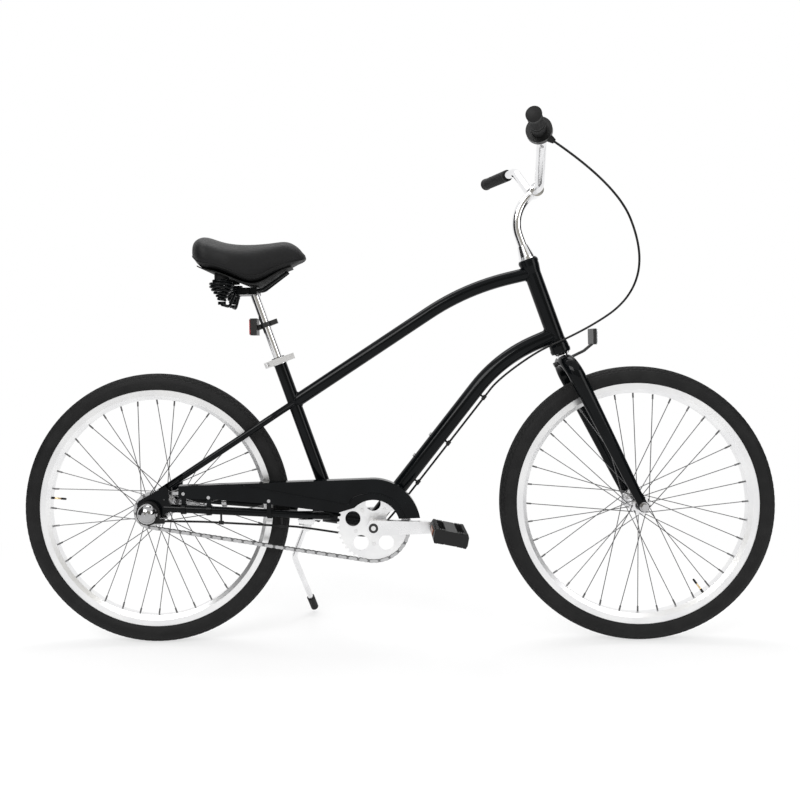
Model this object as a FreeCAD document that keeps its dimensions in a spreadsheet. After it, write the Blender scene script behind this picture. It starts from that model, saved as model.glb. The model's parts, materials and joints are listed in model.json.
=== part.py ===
"""Beach cruiser bicycle: each piece is a document object of its own, written to a STEP file of its own.

Millimetres, +X forwards, +Y to the rider's left, +Z up.
The origin lies on the ground, midway between the axles, in the middle plane.
"""
import FreeCAD, Part
import math
import os
import Sketcher
from FreeCAD import Placement, Rotation, Vector

os.makedirs("parts", exist_ok=True)

# Driving sizes
SIZES = {
    # Layout
    "wheelbase": 1160.0,
    "crank_ahead": 202.5,
    "crank_drop": 39.0,
    "head_angle": 18.7,
    "fork_rake": 45.0,
    "seat_angle": 19.3,
    "seat_setback": 87.48,
    # Clearances
    "weld_gap": 0.05,
    "fit_gap": 0.05,
    "run_gap": 0.3,
    # Frame tubes
    "tube_wall": 2.0,
    "head_tube_diameter": 40.0,
    "head_tube_flare": 46.0,
    "head_tube_length": 220.0,
    "head_tube_lift": 30.0,
    "steerer_diameter": 28.6,
    "top_tube_diameter": 31.8,
    "top_tube_joint_rise": 289.5,
    "top_tube_head_drop": 24.04,
    "top_tube_corner_share": 0.7241,
    "top_tube_end_slope": 12.3,
    "top_tube_bend_share": 0.6545,
    "down_tube_diameter": 38.1,
    "down_tube_head_rise": 37.19,
    "down_tube_corner_share": 0.70355,
    "down_tube_end_slope": 22.5,
    "down_tube_bend_share": 0.6447,
    "seat_tube_diameter": 31.8,
    "seat_tube_above_joint": 111.0,
    "shell_diameter": 41.0,
    "shell_width": 68.0,
    "yoke_diameter": 40.0,
    "yoke_reach": 122.0,
    "yoke_rise": 8.8,
    "chainstay_diameter": 19.0,
    "chainstay_bend_back": 154.0,
    "chainstay_bend_y": 38.0,
    "chainstay_bend_rise": 23.5,
    "seatstay_diameter": 16.0,
    "seatstay_spread_share": 0.163,
    "seatstay_spread_y": 38.0,
    "stay_end_y": 62.0,
    "dropout_thickness": 6.0,
    "dropout_spacing": 120.0,
    "eyelet_diameter": 4.2,
    # Wheels
    "tyre_diameter": 653.0,
    "tyre_width": 47.0,
    "tyre_wall": 3.5,
    "rim_inset": 40.0,
    "rim_depth": 23.5,
    "rim_width": 30.0,
    "rim_wall": 2.4,
    "spoke_diameter": 2.0,
    "nipple_diameter": 4.0,
    "nipple_length": 12.0,
    "axle_diameter": 9.5,
    "front_spacing": 100.0,
    "front_flange_radius": 23.5,
    "front_flange_offset": 33.0,
    "front_hub_diameter": 30.0,
    "rear_flange_radius": 37.0,
    "rear_flange_offset": 31.0,
    "rear_hub_diameter": 58.0,
    "flange_thickness": 3.0,
    "valve_length": 35.0,
    # Drive
    "chain_pitch": 12.7,
    "roller_diameter": 7.4,
    "roller_gap": 0.6,
    "tooth_height": 1.2,
    "chain_plate_height": 8.0,
    "chain_plate_thickness": 1.8,
    "chain_inner_width": 5.0,
    "chain_line": 45.0,
    "ring_thickness": 3.0,
    "sprocket_thickness": 2.4,
    "crank_length": 170.0,
    "crank_thickness": 13.0,
    "crank_inner_face": 65.0,
    "crank_root_radius": 18.0,
    "crank_eye_radius": 12.0,
    "spindle_diameter": 17.0,
    "pedal_length": 76.0,
    "pedal_width": 96.0,
    "pedal_height": 32.0,
    "pedal_waist": 22.0,
    "pedal_notch": 5.0,
    "pedal_tilt": 11.0,
    "pedal_spindle_diameter": 11.0,
    "guard_plane": 62.0,
    "guard_thickness": 2.0,
    "guard_flange": 22.0,
    "guard_outer_radius": 111.5,
    "guard_inner_radius": 62.5,
    # Fork
    "crown_gap": 35.5,
    "blade_offset": 51.0,
    "blade_depth": 38.0,
    "blade_width": 29.0,
    "crown_bend": 42.0,
    "blade_tip_depth": 22.0,
    "blade_tip_width": 17.0,
    "blade_wall": 2.0,
    # Cockpit
    "bar_diameter": 22.2,
    "stem_bend": 88.0,
    "stem_rise": 129.0,
    "stem_wall": 4.0,
    "bar_forward": 60.08,
    "bar_rise": 53.62,
    "bar_foot_y": 46.0,
    "bar_knee_back": 17.0,
    "bar_knee_y": 156.0,
    "bar_knee_rise": 84.0,
    "bar_end_back": 69.0,
    "bar_end_y": 316.0,
    "bar_end_rise": 88.6,
    "grip_diameter": 31.0,
    "grip_length": 125.0,
    "short_grip_length": 62.0,
    "twist_length": 38.0,
    "twist_diameter": 34.0,
    "shifter_diameter": 56.0,
    "shifter_width": 17.0,
    "cable_diameter": 5.0,
    # Seat
    "post_diameter": 22.2,
    "post_wall": 2.5,
    "post_above_tube": 164.0,
    "post_inside_tube": 118.0,
    "rail_diameter": 7.0,
    "spring_back": 63.8,
    "spring_y": 70.0,
    "spring_wire": 5.5,
    "spring_seat_drop": 30.0,
    "spring_height": 53.0,
    "spring_foot_radius": 8.0,
    "spring_wide_radius": 27.0,
    "spring_head_radius": 19.0,
    "spring_turns": 6.5,
    "base_thickness": 3.0,
    # Kickstand
    "stand_leg_diameter": 14.0,
    "stand_pivot_back": 10.0,
    "stand_pivot_out": 4.0,
    "stand_pivot_drop": 30.5,
    "stand_foot_out": 148.0,
    "stand_foot_height": 16.5,
}

doc = FreeCAD.newDocument("cruiser")
sheet = doc.addObject("Spreadsheet::Sheet", "size")
for row, (alias, amount) in enumerate(SIZES.items(), start=1):
    sheet.set("A%d" % row, alias)
    sheet.set("B%d" % row, str(amount))
    sheet.setAlias("B%d" % row, alias)
doc.recompute()


class Size:
    """A size of the sheet, or one worked out from several: its expression and its number."""

    def __init__(self, text, number):
        self.text = text
        self.number = number

    def __float__(self):
        return self.number

    def __add__(self, other):
        return Size("(%s + %s)" % (self.text, text_of(other)), self.number + float(other))

    def __radd__(self, other):
        return Size("(%s + %s)" % (text_of(other), self.text), float(other) + self.number)

    def __sub__(self, other):
        return Size("(%s - %s)" % (self.text, text_of(other)), self.number - float(other))

    def __rsub__(self, other):
        return Size("(%s - %s)" % (text_of(other), self.text), float(other) - self.number)

    def __mul__(self, other):
        return Size("(%s * %s)" % (self.text, text_of(other)), self.number * float(other))

    __rmul__ = __mul__

    def __truediv__(self, other):
        return Size("(%s / %s)" % (self.text, text_of(other)), self.number / float(other))

    def __neg__(self):
        return Size("(0 - %s)" % self.text, -self.number)

    def root(self):
        return Size("sqrt(%s)" % self.text, math.sqrt(self.number))


def text_of(value):
    """The expression text of a size or of a plain number."""
    if isinstance(value, Size):
        return value.text
    return "(%r)" % float(value)


def size(alias):
    """The sheet's size of that name, for an expression."""
    return Size("size." + alias, float(sheet.get(alias)))


def mm(alias):
    """The sheet's size of that name, as a number."""
    return float(sheet.get(alias))


def unit(vector):
    """The vector at length one."""
    return Vector(vector).normalize()


def bind(owner, name, value):
    """Set a property from a size, by expression, or from a plain number."""
    if isinstance(value, Size):
        owner.setExpression(name, value.text)
    else:
        setattr(owner, name, value)


# Sketches and bodies
def new_body(label):
    piece = doc.addObject("PartDesign::Body", label)
    piece.Label = label
    return piece


def new_sketch(owner, role, offset=0.0):
    """An empty sketch on one of the body's own planes."""
    sketch = owner.newObject("Sketcher::SketchObject", "outline")
    plane = next(item for item in owner.Origin.OriginFeatures if item.Role == role)
    sketch.AttachmentSupport = (plane, [""])
    sketch.MapMode = "FlatFace"
    sketch.AttachmentOffset = Placement(Vector(0, 0, offset), Rotation())
    return sketch


def arc_middle(start, end, radius, through):
    """The middle of the arc between two points that lies nearest to a third point."""
    chord_middle = (start + end) * 0.5
    half = (end - start).Length / 2
    rise = math.sqrt(radius * radius - half * half)
    square = unit(Vector(start.y - end.y, end.x - start.x, 0))
    choices = [chord_middle + square * (sign * (radius + side * rise))
               for sign in (-1, 1) for side in (-1, 1)]
    return min(choices, key=lambda spot: (spot - through).Length)


def add_outline(sketch, corners):
    """A closed line through the corners, every corner held by its two distances from the origin.

    A corner is (u, v), or (u, v, radius, through) where an arc leads on to the next corner;
    through is a point near the middle of that arc.
    """
    first = sketch.GeometryCount
    count = len(corners)
    spots = [Vector(float(corner[0]), float(corner[1]), 0) for corner in corners]
    edges = []
    ends = []
    for index, corner in enumerate(corners):
        start = spots[index]
        end = spots[(index + 1) % count]
        if len(corner) == 2:
            edges.append(Part.LineSegment(start, end))
            ends.append((1, 2))
            continue
        through = Vector(float(corner[3][0]), float(corner[3][1]), 0)
        middle = arc_middle(start, end, float(corner[2]), through)
        turn = (middle - start).cross(end - middle).z
        if turn > 0:
            edges.append(Part.Arc(start, middle, end))
            ends.append((1, 2))
        else:
            edges.append(Part.Arc(end, middle, start))
            ends.append((2, 1))
    sketch.addGeometry(edges, False)
    rules = []
    sizes = []
    for index, corner in enumerate(corners):
        before = (index - 1) % count
        rules.append(Sketcher.Constraint("Coincident", first + before, ends[before][1],
                                         first + index, ends[index][0]))
        sizes.append(None)
        for kind, value in (("DistanceX", corner[0]), ("DistanceY", corner[1])):
            rules.append(Sketcher.Constraint(kind, -1, 1, first + index, ends[index][0], float(value)))
            sizes.append(value)
        if len(corner) > 2:
            rules.append(Sketcher.Constraint("Radius", first + index, float(corner[2])))
            sizes.append(corner[2])
    bind_rules(sketch, rules, sizes)


def add_circle(sketch, across, up, radius):
    """A circle held by its centre and its radius."""
    index = sketch.GeometryCount
    centre = Vector(float(across), float(up), 0)
    sketch.addGeometry(Part.Circle(centre, Vector(0, 0, 1), float(radius)), False)
    rules = [
        Sketcher.Constraint("DistanceX", -1, 1, index, 3, float(across)),
        Sketcher.Constraint("DistanceY", -1, 1, index, 3, float(up)),
        Sketcher.Constraint("Radius", index, float(radius)),
    ]
    bind_rules(sketch, rules, [across, up, radius])


def bind_rules(sketch, rules, sizes):
    """Add the constraints and bind those that follow the sheet."""
    first = sketch.ConstraintCount
    sketch.addConstraint(rules)
    for index, value in enumerate(sizes):
        if isinstance(value, Size):
            sketch.setExpression("Constraints[%d]" % (first + index), value.text)


def turned(label, corners, base, axis):
    """A body turned from an outline of (radius, distance along the axis)."""
    piece = new_body(label)
    sketch = new_sketch(piece, "XY_Plane")
    add_outline(sketch, corners)
    turn = piece.newObject("PartDesign::Revolution", "turn")
    turn.Profile = sketch
    turn.ReferenceAxis = (sketch, ["V_Axis"])
    turn.Angle = 360
    piece.Placement = Placement(Vector(base), Rotation(Vector(0, 1, 0), Vector(axis)))
    return piece


def add_pad(piece, length, outlines, circles=(), offset=0.0):
    """A pad towards -Y of outlines drawn in (x, z), with round holes."""
    sketch = new_sketch(piece, "XZ_Plane", offset)
    for corners in outlines:
        add_outline(sketch, corners)
    for circle in circles:
        add_circle(sketch, *circle)
    pad = piece.newObject("PartDesign::Pad", "pad")
    pad.Profile = sketch
    bind(pad, "Length", length)
    return pad


def plate(label, outer_y, thickness, outlines, circles=()):
    """A plate from outer_y towards -Y, drawn in (x, z)."""
    piece = new_body(label)
    add_pad(piece, thickness, outlines, circles)
    piece.Placement = Placement(Vector(0, float(outer_y), 0), Rotation())
    return piece


def round_bar(label, radius, length, base, axis):
    """A plain round bar with bound sizes."""
    piece = doc.addObject("Part::Cylinder", label)
    piece.Label = label
    bind(piece, "Radius", radius)
    bind(piece, "Height", length)
    piece.Placement = Placement(Vector(base), Rotation(Vector(0, 0, 1), Vector(axis)))
    return piece


def group(label, pieces):
    """Several solids in one node."""
    piece = doc.addObject("Part::Compound", label)
    piece.Label = label
    piece.Links = pieces
    return piece


def cut_away(label, body, tool):
    """The body less the tool, both document objects."""
    piece = doc.addObject("Part::Cut", label)
    piece.Label = label
    piece.Base = body
    piece.Tool = tool
    return piece


def made(label, *shapes):
    """A piece whose shape is worked out here from the sheet's sizes."""
    piece = doc.addObject("Part::Feature", label)
    piece.Label = label
    piece.Shape = shapes[0] if len(shapes) == 1 else Part.makeCompound(list(shapes))
    piece.Placement = Placement()
    return piece


# Shapes worked out in code: bent rods, bars and blocks
def bent_wire(points, bends):
    """Straight runs through the points, joined by tangent arcs of the given radii."""
    edges = []
    last = points[0]
    for index, bend in enumerate(bends, start=1):
        corner = points[index]
        back = unit(points[index - 1] - corner)
        onward = unit(points[index + 1] - corner)
        half = back.getAngle(onward) / 2
        reach = bend / math.tan(half)
        start = corner + back * reach
        end = corner + onward * reach
        middle = corner + unit(back + onward) * (bend / math.sin(half) - bend)
        edges.append(Part.LineSegment(last, start).toShape())
        edges.append(Part.Arc(start, middle, end).toShape())
        last = end
    edges.append(Part.LineSegment(last, points[-1]).toShape())
    return Part.Wire(edges)


def bent_rod(points, bends, radius):
    """A solid rod along the bent line."""
    ring = Part.Wire([Part.makeCircle(radius, points[0], unit(points[1] - points[0]))])
    return bent_wire(points, bends).makePipeShell([ring], True, False)


def bent_tube(points, bends, radius, wall):
    """A tube along the bent line, open at both ends."""
    return bent_rod(points, bends, radius).cut(bent_rod(points, bends, radius - wall))


def bar(radius, start, end):
    """A solid round bar between two points."""
    return Part.makeCylinder(radius, (end - start).Length, start, unit(end - start))


def block(low, high):
    """A block between two opposite corners."""
    return Part.makeBox(high.x - low.x, high.y - low.y, high.z - low.z, low)


def across(vector):
    """The same point on the other side of the middle plane."""
    return Vector(vector.x, -vector.y, vector.z)


def both_sides(shape):
    """The shape and its mirror image in the middle plane."""
    return [shape, shape.mirror(Vector(), Vector(0, 1, 0))]


# Reference points
UP = Vector(0, 0, 1)
LEFT = Vector(0, 1, 0)
AXLE_HEIGHT = mm("tyre_diameter") / 2
REAR = Vector(-mm("wheelbase") / 2, 0, AXLE_HEIGHT)
FRONT = Vector(mm("wheelbase") / 2, 0, AXLE_HEIGHT)
CRANK = REAR + Vector(AXLE_HEIGHT + mm("crank_ahead"), 0, -mm("crank_drop"))
head_tilt = math.radians(mm("head_angle"))
HEAD = Vector(-math.sin(head_tilt), 0, math.cos(head_tilt))
HEAD_FOOT = FRONT - Vector(mm("fork_rake") / math.cos(head_tilt), 0, 0)
seat_tilt = math.radians(mm("seat_angle"))
SEAT = Vector(-math.sin(seat_tilt), 0, math.cos(seat_tilt))
crown_height = AXLE_HEIGHT + mm("crown_gap")
head_start = crown_height + mm("head_tube_lift")
head_end = head_start + mm("head_tube_length")
seat_rise = mm("top_tube_joint_rise") + mm("seat_tube_above_joint")
weld = mm("weld_gap")
fit = mm("fit_gap")


def on_head(distance):
    """The point of the steering axis at that distance above axle height."""
    return HEAD_FOOT + HEAD * distance


def on_seat(rise):
    """The point of the seat tube's axis at that rise above the crank axis."""
    return CRANK + Vector(-mm("seat_setback") - math.tan(seat_tilt) * rise, 0, rise)


def tube_corner(start, end, share, end_slope):
    """The corner of a tube's line: at a share of its run, on the line that enters its end at the slope."""
    x = start.x + share * (end.x - start.x)
    return Vector(x, 0, end.z - math.tan(math.radians(end_slope)) * (end.x - x))


def bend_within(start, corner, end, share):
    """The bend radius whose arc takes up that share of the last leg."""
    turn = (corner - start).getAngle(end - corner)
    return share * (end - corner).Length / math.tan(turn / 2)


# Head tube and headset cups
head_base = on_head(head_start)
flare_radius = size("head_tube_flare") / 2
head_radius = size("head_tube_diameter") / 2
head_length = size("head_tube_length")
head_bore = head_radius - 3.0
turned("head_tube", [
    (head_bore, 0.0), (flare_radius, 0.0), (flare_radius, 8.0), (head_radius, 26.0),
    (head_radius, head_length - 26.0), (flare_radius, head_length - 8.0),
    (flare_radius, head_length), (head_bore, head_length),
], head_base, HEAD)
cup_bore = size("steerer_diameter") / 2 + 0.9
cup_skirt = head_bore - size("fit_gap")
cup_outer = flare_radius + 1.0
lower_cup = turned("lower_cup", [
    (cup_bore, -9.0), (cup_outer - 1.0, -9.0), (cup_outer, -5.0), (cup_outer, 0.0),
    (cup_skirt, 0.0), (cup_skirt, 10.0), (cup_bore, 10.0),
], head_base, HEAD)
upper_cup = turned("upper_cup", [
    (cup_bore, head_length - 10.0), (cup_skirt, head_length - 10.0), (cup_skirt, head_length),
    (cup_outer, head_length), (cup_outer, head_length + 6.0), (cup_outer - 2.0, head_length + 10.0),
    (cup_bore, head_length + 10.0),
], head_base, HEAD)
group("headset_cups", [lower_cup, upper_cup])


def head_envelope():
    """The head tube's outside as a solid, larger by the weld gap."""
    small = mm("head_tube_diameter") / 2 + weld
    large = mm("head_tube_flare") / 2 + weld
    length = mm("head_tube_length")
    profile = [(0, 0), (large, 0), (large, 8), (small, 26), (small, length - 26),
               (large, length - 8), (large, length), (0, length)]
    sideways = unit(LEFT.cross(HEAD))
    spots = [head_base + sideways * radius + HEAD * along for radius, along in profile]
    face = Part.Face(Part.makePolygon(spots + spots[:1]))
    return face.revolve(head_base, HEAD, 360)


# Bottom bracket shell with its yoke
yoke_tilt = math.radians(mm("yoke_rise"))
YOKE = Vector(-math.cos(yoke_tilt), 0, math.sin(yoke_tilt))
yoke_end = CRANK + YOKE * mm("yoke_reach")
half_shell = mm("shell_width") / 2
shell_radius = mm("shell_diameter") / 2
shell_bore = shell_radius - 3.5
yoke_radius = mm("yoke_diameter") / 2
shell = bar(shell_radius, CRANK - LEFT * half_shell, CRANK + LEFT * half_shell)
yoke = bar(yoke_radius, CRANK, yoke_end)
yoke_hollow = bar(yoke_radius - 3.0, CRANK, yoke_end - YOKE * 4.0)
shell_hollow = bar(shell_bore, CRANK - LEFT * half_shell, CRANK + LEFT * half_shell)
made("bottom_bracket_shell", shell.fuse(yoke).removeSplitter().cut(yoke_hollow).cut(shell_hollow))
yoke_cutter = bar(yoke_radius + weld, CRANK, yoke_end + YOKE * weld)
shell_cutter = bar(shell_radius + weld, CRANK - LEFT * half_shell, CRANK + LEFT * half_shell)

# Seat tube
post_radius = size("post_diameter") / 2
seat_radius = size("seat_tube_diameter") / 2
seat_foot = on_seat(mm("seat_setback") * math.tan(yoke_tilt))
seat_top = on_seat(seat_rise)
seat_length = (seat_top - seat_foot).Length
sleeve = seat_length - 80.0
seat_blank = turned("seat_tube_blank", [
    (seat_radius - size("tube_wall"), 0.0), (seat_radius, 0.0), (seat_radius, seat_length),
    (post_radius + size("fit_gap"), seat_length), (post_radius + size("fit_gap"), sleeve),
    (seat_radius - size("tube_wall"), sleeve),
], seat_foot, SEAT)
yoke_tool = round_bar("yoke_tool", size("yoke_diameter") / 2 + size("weld_gap"),
                      size("yoke_reach"), CRANK, YOKE)
cut_away("seat_tube", seat_blank, yoke_tool)
seat_cutter = bar(mm("seat_tube_diameter") / 2 + weld, seat_foot, seat_top)

# Top tube and down tube
top_start = on_seat(mm("top_tube_joint_rise"))
top_end = on_head(head_end - mm("top_tube_head_drop"))
top_corner = tube_corner(top_start, top_end, mm("top_tube_corner_share"), mm("top_tube_end_slope"))
top_bend = bend_within(top_start, top_corner, top_end, mm("top_tube_bend_share"))
top_tube = bent_tube([top_start, top_corner, top_end], [top_bend],
                     mm("top_tube_diameter") / 2, mm("tube_wall"))
head_cutter = head_envelope()
made("top_tube", top_tube.cut(seat_cutter).cut(head_cutter))
down_end = on_head(head_start + mm("down_tube_head_rise"))
down_corner = tube_corner(CRANK, down_end, mm("down_tube_corner_share"), mm("down_tube_end_slope"))
down_bend = bend_within(CRANK, down_corner, down_end, mm("down_tube_bend_share"))
down_leg = (down_corner - CRANK).Length
DOWN = unit(down_corner - CRANK)
DOWN_UNDER = Vector(DOWN.z, 0, -DOWN.x)
down_radius = mm("down_tube_diameter") / 2
down_tube = bent_tube([CRANK, down_corner, down_end], [down_bend], down_radius, mm("tube_wall"))
made("down_tube", down_tube.cut(shell_cutter).cut(yoke_cutter).cut(head_cutter))

# Rear dropouts: an axle slot open to the rear and an eyelet for a rack
drop_x = -size("wheelbase") / 2
drop_z = size("tyre_diameter") / 2
slot = size("axle_diameter") / 2 + 0.4
nearly_half = 1.01
eyelet_x = 35.0
eyelet_z = 30.0
dropout_outline = [
    (drop_x - 22.0, drop_z - slot), (drop_x - 14.0, drop_z - 18.0), (drop_x + 4.0, drop_z - 20.0),
    (drop_x + 36.0, drop_z - 5.0), (drop_x + 52.0, drop_z + 2.0), (drop_x + 52.0, drop_z + 15.0),
    (drop_x + 45.0, drop_z + 30.0), (drop_x + 46.0, drop_z + 53.0), (drop_x + 38.0, drop_z + 62.0),
    (drop_x + 6.0, drop_z + 44.0), (drop_x - 26.0, drop_z + 27.0), (drop_x - 30.0, drop_z + 18.0),
    (drop_x - 26.0, drop_z + slot),
    (drop_x + 1.0, drop_z + slot, slot * nearly_half, (drop_x + 1.0 + slot, drop_z)),
    (drop_x + 1.0, drop_z - slot),
]
eyelet = (drop_x + eyelet_x, drop_z + eyelet_z, size("eyelet_diameter") / 2)
drop_inner = mm("dropout_spacing") / 2
drop_thick = mm("dropout_thickness")
right_dropout = plate("right_dropout", -drop_inner, size("dropout_thickness"), [dropout_outline], [eyelet])
left_dropout = plate("left_dropout", drop_inner + drop_thick, size("dropout_thickness"),
                     [dropout_outline], [eyelet])
group("rear_dropouts", [right_dropout, left_dropout])

# Chainstays and seatstays, slotted for the dropouts
tab_low = REAR + Vector(-60.0, drop_inner - weld, -60.0)
tab_high = REAR + Vector(80.0, drop_inner + drop_thick + weld, 90.0)
tab_slot = block(tab_low, tab_high)
stay_y = mm("stay_end_y")
stay_root = CRANK + YOKE * (mm("yoke_reach") - 32.0) + LEFT * 6.0
stay_bend = CRANK + Vector(-mm("chainstay_bend_back"), mm("chainstay_bend_y"), mm("chainstay_bend_rise"))
stay_end = REAR + Vector(34.0, stay_y - 1.0, 9.5)
stay_radius = mm("chainstay_diameter") / 2
chainstay = bent_rod([stay_root, stay_bend, stay_end], [60.0], stay_radius)
stay_bore = bent_rod([stay_root, stay_bend, stay_end], [60.0], stay_radius - mm("tube_wall"))
chainstay = chainstay.cut(stay_bore).cut(yoke_cutter).cut(seat_cutter).cut(tab_slot)
made("chainstays", *both_sides(max(chainstay.Solids, key=lambda solid: solid.Volume)))
seatstay_top = top_start + Vector(4.0, 5.0, 2.57)
seatstay_foot = REAR + Vector(24.0, stay_y, 47.6)
seatstay_bend = seatstay_top + (seatstay_foot - seatstay_top) * mm("seatstay_spread_share")
seatstay_bend.y = mm("seatstay_spread_y")
seatstay_points = [seatstay_top, seatstay_bend, seatstay_foot]
seatstay_radius = mm("seatstay_diameter") / 2
seatstay = bent_tube(seatstay_points, [45.0], seatstay_radius, mm("tube_wall"))
seatstay = seatstay.cut(seat_cutter).cut(tab_slot)
made("seatstays", *both_sides(max(seatstay.Solids, key=lambda solid: solid.Volume)))


def on_chainstay(x, y_sign):
    """The point of a chainstay's axis behind its bend, at that x."""
    share = (x - stay_bend.x) / (stay_end.x - stay_bend.x)
    spot = stay_bend + (stay_end - stay_bend) * share
    return Vector(spot.x, spot.y * y_sign, spot.z)


# Seat collar with its skewer and lever
collar_low = seat_top - SEAT * 18.0
SEAT_BACK = Vector(-SEAT.z, 0, SEAT.x)
collar_radius = mm("seat_tube_diameter") / 2
pin_back = 29.0
pin_side = -20.0
collar = bar(collar_radius + 4.5, collar_low, collar_low + SEAT * 16.0)


def seat_block(back, side, height, low=collar_low):
    """A block square to the seat tube, each argument a pair of limits."""
    shape = Part.makeBox(back[1] - back[0], side[1] - side[0], height[1] - height[0])
    shape.Placement = Placement(low + SEAT_BACK * back[0] + LEFT * side[1] + SEAT * height[0],
                                Rotation(SEAT_BACK, -LEFT, SEAT, "ZXY"))
    return shape


collar = collar.fuse(seat_block((14.0, 36.0), (-11.0, 11.0), (1.0, 15.0))).removeSplitter()
collar = collar.cut(bar(collar_radius + fit, collar_low - SEAT, collar_low + SEAT * 20.0))
collar = collar.cut(seat_block((10.0, 40.0), (-1.0, 1.0), (-1.0, 20.0)))
skewer_line = collar_low + SEAT * 8.0 + SEAT_BACK * pin_back
collar = collar.cut(bar(3.0 + fit, skewer_line - LEFT * 30.0, skewer_line + LEFT * 30.0))
pin = skewer_line + LEFT * pin_side
skewer = bar(3.0, pin, skewer_line + LEFT * 12.0).fuse(bar(2.5, pin - SEAT * 7.0, pin + SEAT * 7.0))
skewer = skewer.fuse(bar(6.5, skewer_line + LEFT * 11.0, skewer_line + LEFT * 18.0)).removeSplitter()
made("seat_collar", collar, skewer)
lever = bar(5.0, pin - SEAT * 7.0, pin + SEAT * 7.0)
lever = lever.fuse(seat_block((-42.0, pin_back), (pin_side - 5.0, pin_side - 1.0), (1.0, 15.0)))
lever = lever.removeSplitter().cut(bar(2.5 + fit, pin - SEAT * 9.0, pin + SEAT * 9.0))
lever = lever.cut(seat_block((pin_back - 9.0, pin_back + 9.0), (pin_side - 6.0, 0.0), (4.0, 12.0)))
made("collar_lever", lever)

# Wheels
axle_radius = size("axle_diameter") / 2
rim_edge = size("tyre_diameter") / 2 - size("rim_inset")


def make_tyre(label, centre, valve_turn):
    """The tyre, open towards the rim, with its valve pointing at the hub."""
    outer = size("tyre_width") / 2
    inner = outer - size("tyre_wall")
    middle = size("tyre_diameter") / 2 - outer
    foot = rim_edge + 0.5
    bead_outer = size("rim_width") / 2 - size("rim_wall") - 0.3
    bead_inner = bead_outer - size("tyre_wall")
    bead_foot = rim_edge - 9.5
    drop = middle - foot
    side = (outer * outer - drop * drop).root()
    start = middle - (inner * inner - bead_inner * bead_inner).root()
    casing = turned(label + "_casing", [
        (foot, -side, outer, (middle + outer, 0.0)), (foot, side), (foot, bead_outer),
        (bead_foot, bead_outer), (bead_foot, bead_inner), (start, bead_inner, inner, (middle + inner, 0.0)),
        (start, -bead_inner), (bead_foot, -bead_inner), (bead_foot, -bead_outer), (foot, -bead_outer),
    ], centre, LEFT)
    angle = math.radians(valve_turn)
    inward = Vector(-math.cos(angle), 0, -math.sin(angle))
    root = centre - inward * (float(rim_edge) - mm("rim_depth") - 0.2)
    valve = round_bar(label + "_valve", 3.0, size("valve_length"), root, inward)
    group(label, [casing, valve])


def make_rim(label, centre):
    """A double-wall rim with a sealed box under the tyre's bed."""
    top = rim_edge
    foot = top - size("rim_depth")
    half = size("rim_width") / 2
    wall = size("rim_wall")
    bed = top - 10.0
    piece = turned(label, [
        (top, half), (top, half - wall), (bed, half - wall), (bed, wall - half), (top, wall - half),
        (top, -half), (foot + 9.0, 0.5 - half), (foot, -half + 6.0), (foot, half - 6.0),
        (foot + 9.0, half - 0.5),
    ], centre, LEFT)
    sketch = new_sketch(piece, "XY_Plane")
    add_outline(sketch, [
        (bed - wall, half - wall - 1.5), (bed - wall, wall + 1.5 - half),
        (foot + wall, wall + 5.0 - half), (foot + wall, half - wall - 5.0),
    ])
    hollow = piece.newObject("PartDesign::Groove", "hollow")
    hollow.Profile = sketch
    hollow.ReferenceAxis = (sketch, ["V_Axis"])
    hollow.Angle = 360


def make_spokes(label, centre, flange_radius, flange_offset):
    """Thirty-six crossed spokes, each with its nipple, half of them on either flange."""
    hole_circle = flange_radius - 4.0
    rim_foot = float(rim_edge) - mm("rim_depth") - 0.2
    per_side = 18
    step = 360.0 / per_side
    spokes = []
    for side in (-1, 1):
        for index in range(per_side):
            leading = 1 if index % 2 else -1
            hub_turn = math.radians(step * index + (step / 2 if side > 0 else 0.0))
            rim_turn = hub_turn + leading * math.radians(3 * step)
            beside = flange_offset + (4.5 if leading > 0 else -2.7)
            start = centre + Vector(hole_circle * math.cos(hub_turn), side * beside,
                                    hole_circle * math.sin(hub_turn))
            end = centre + Vector(rim_foot * math.cos(rim_turn), side * 2.5,
                                  rim_foot * math.sin(rim_turn))
            run = unit(end - start)
            end = end - run * 0.6
            spoke = bar(mm("spoke_diameter") / 2, start, end)
            nipple = bar(mm("nipple_diameter") / 2, end - run * mm("nipple_length"), end)
            spokes.append(spoke.fuse(nipple).removeSplitter())
    made(label, *spokes)


def make_hub(label, centre, barrel, flange_radius, offset, end, bore):
    """A hub shell with two flanges."""
    half = size("flange_thickness") / 2
    neck = flange_radius - 8.0
    turned(label, [
        (bore, -end), (neck, -end), (neck, -offset - half), (flange_radius, -offset - half),
        (flange_radius, half - offset), (barrel, half - offset), (barrel, offset - half),
        (flange_radius, offset - half), (flange_radius, offset + half), (neck, offset + half),
        (neck, end), (bore, end),
    ], centre, LEFT)


def make_nut(label, centre, start, side):
    """An axle nut with its washer, from start outwards on that side."""
    washer = bar(11.0, centre + LEFT * start * side, centre + LEFT * (start + 2.0) * side)
    corners = []
    for index in range(7):
        turn = math.radians(60.0 * index)
        corners.append(centre + Vector(8.66 * math.cos(turn), (start + 2.0) * side, 8.66 * math.sin(turn)))
    nut = Part.Face(Part.makePolygon(corners)).extrude(LEFT * 8.0 * side)
    hole = bar(mm("axle_diameter") / 2 + fit, centre - LEFT * 120.0, centre + LEFT * 120.0)
    return made(label, washer.fuse(nut).removeSplitter().cut(hole))


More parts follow.
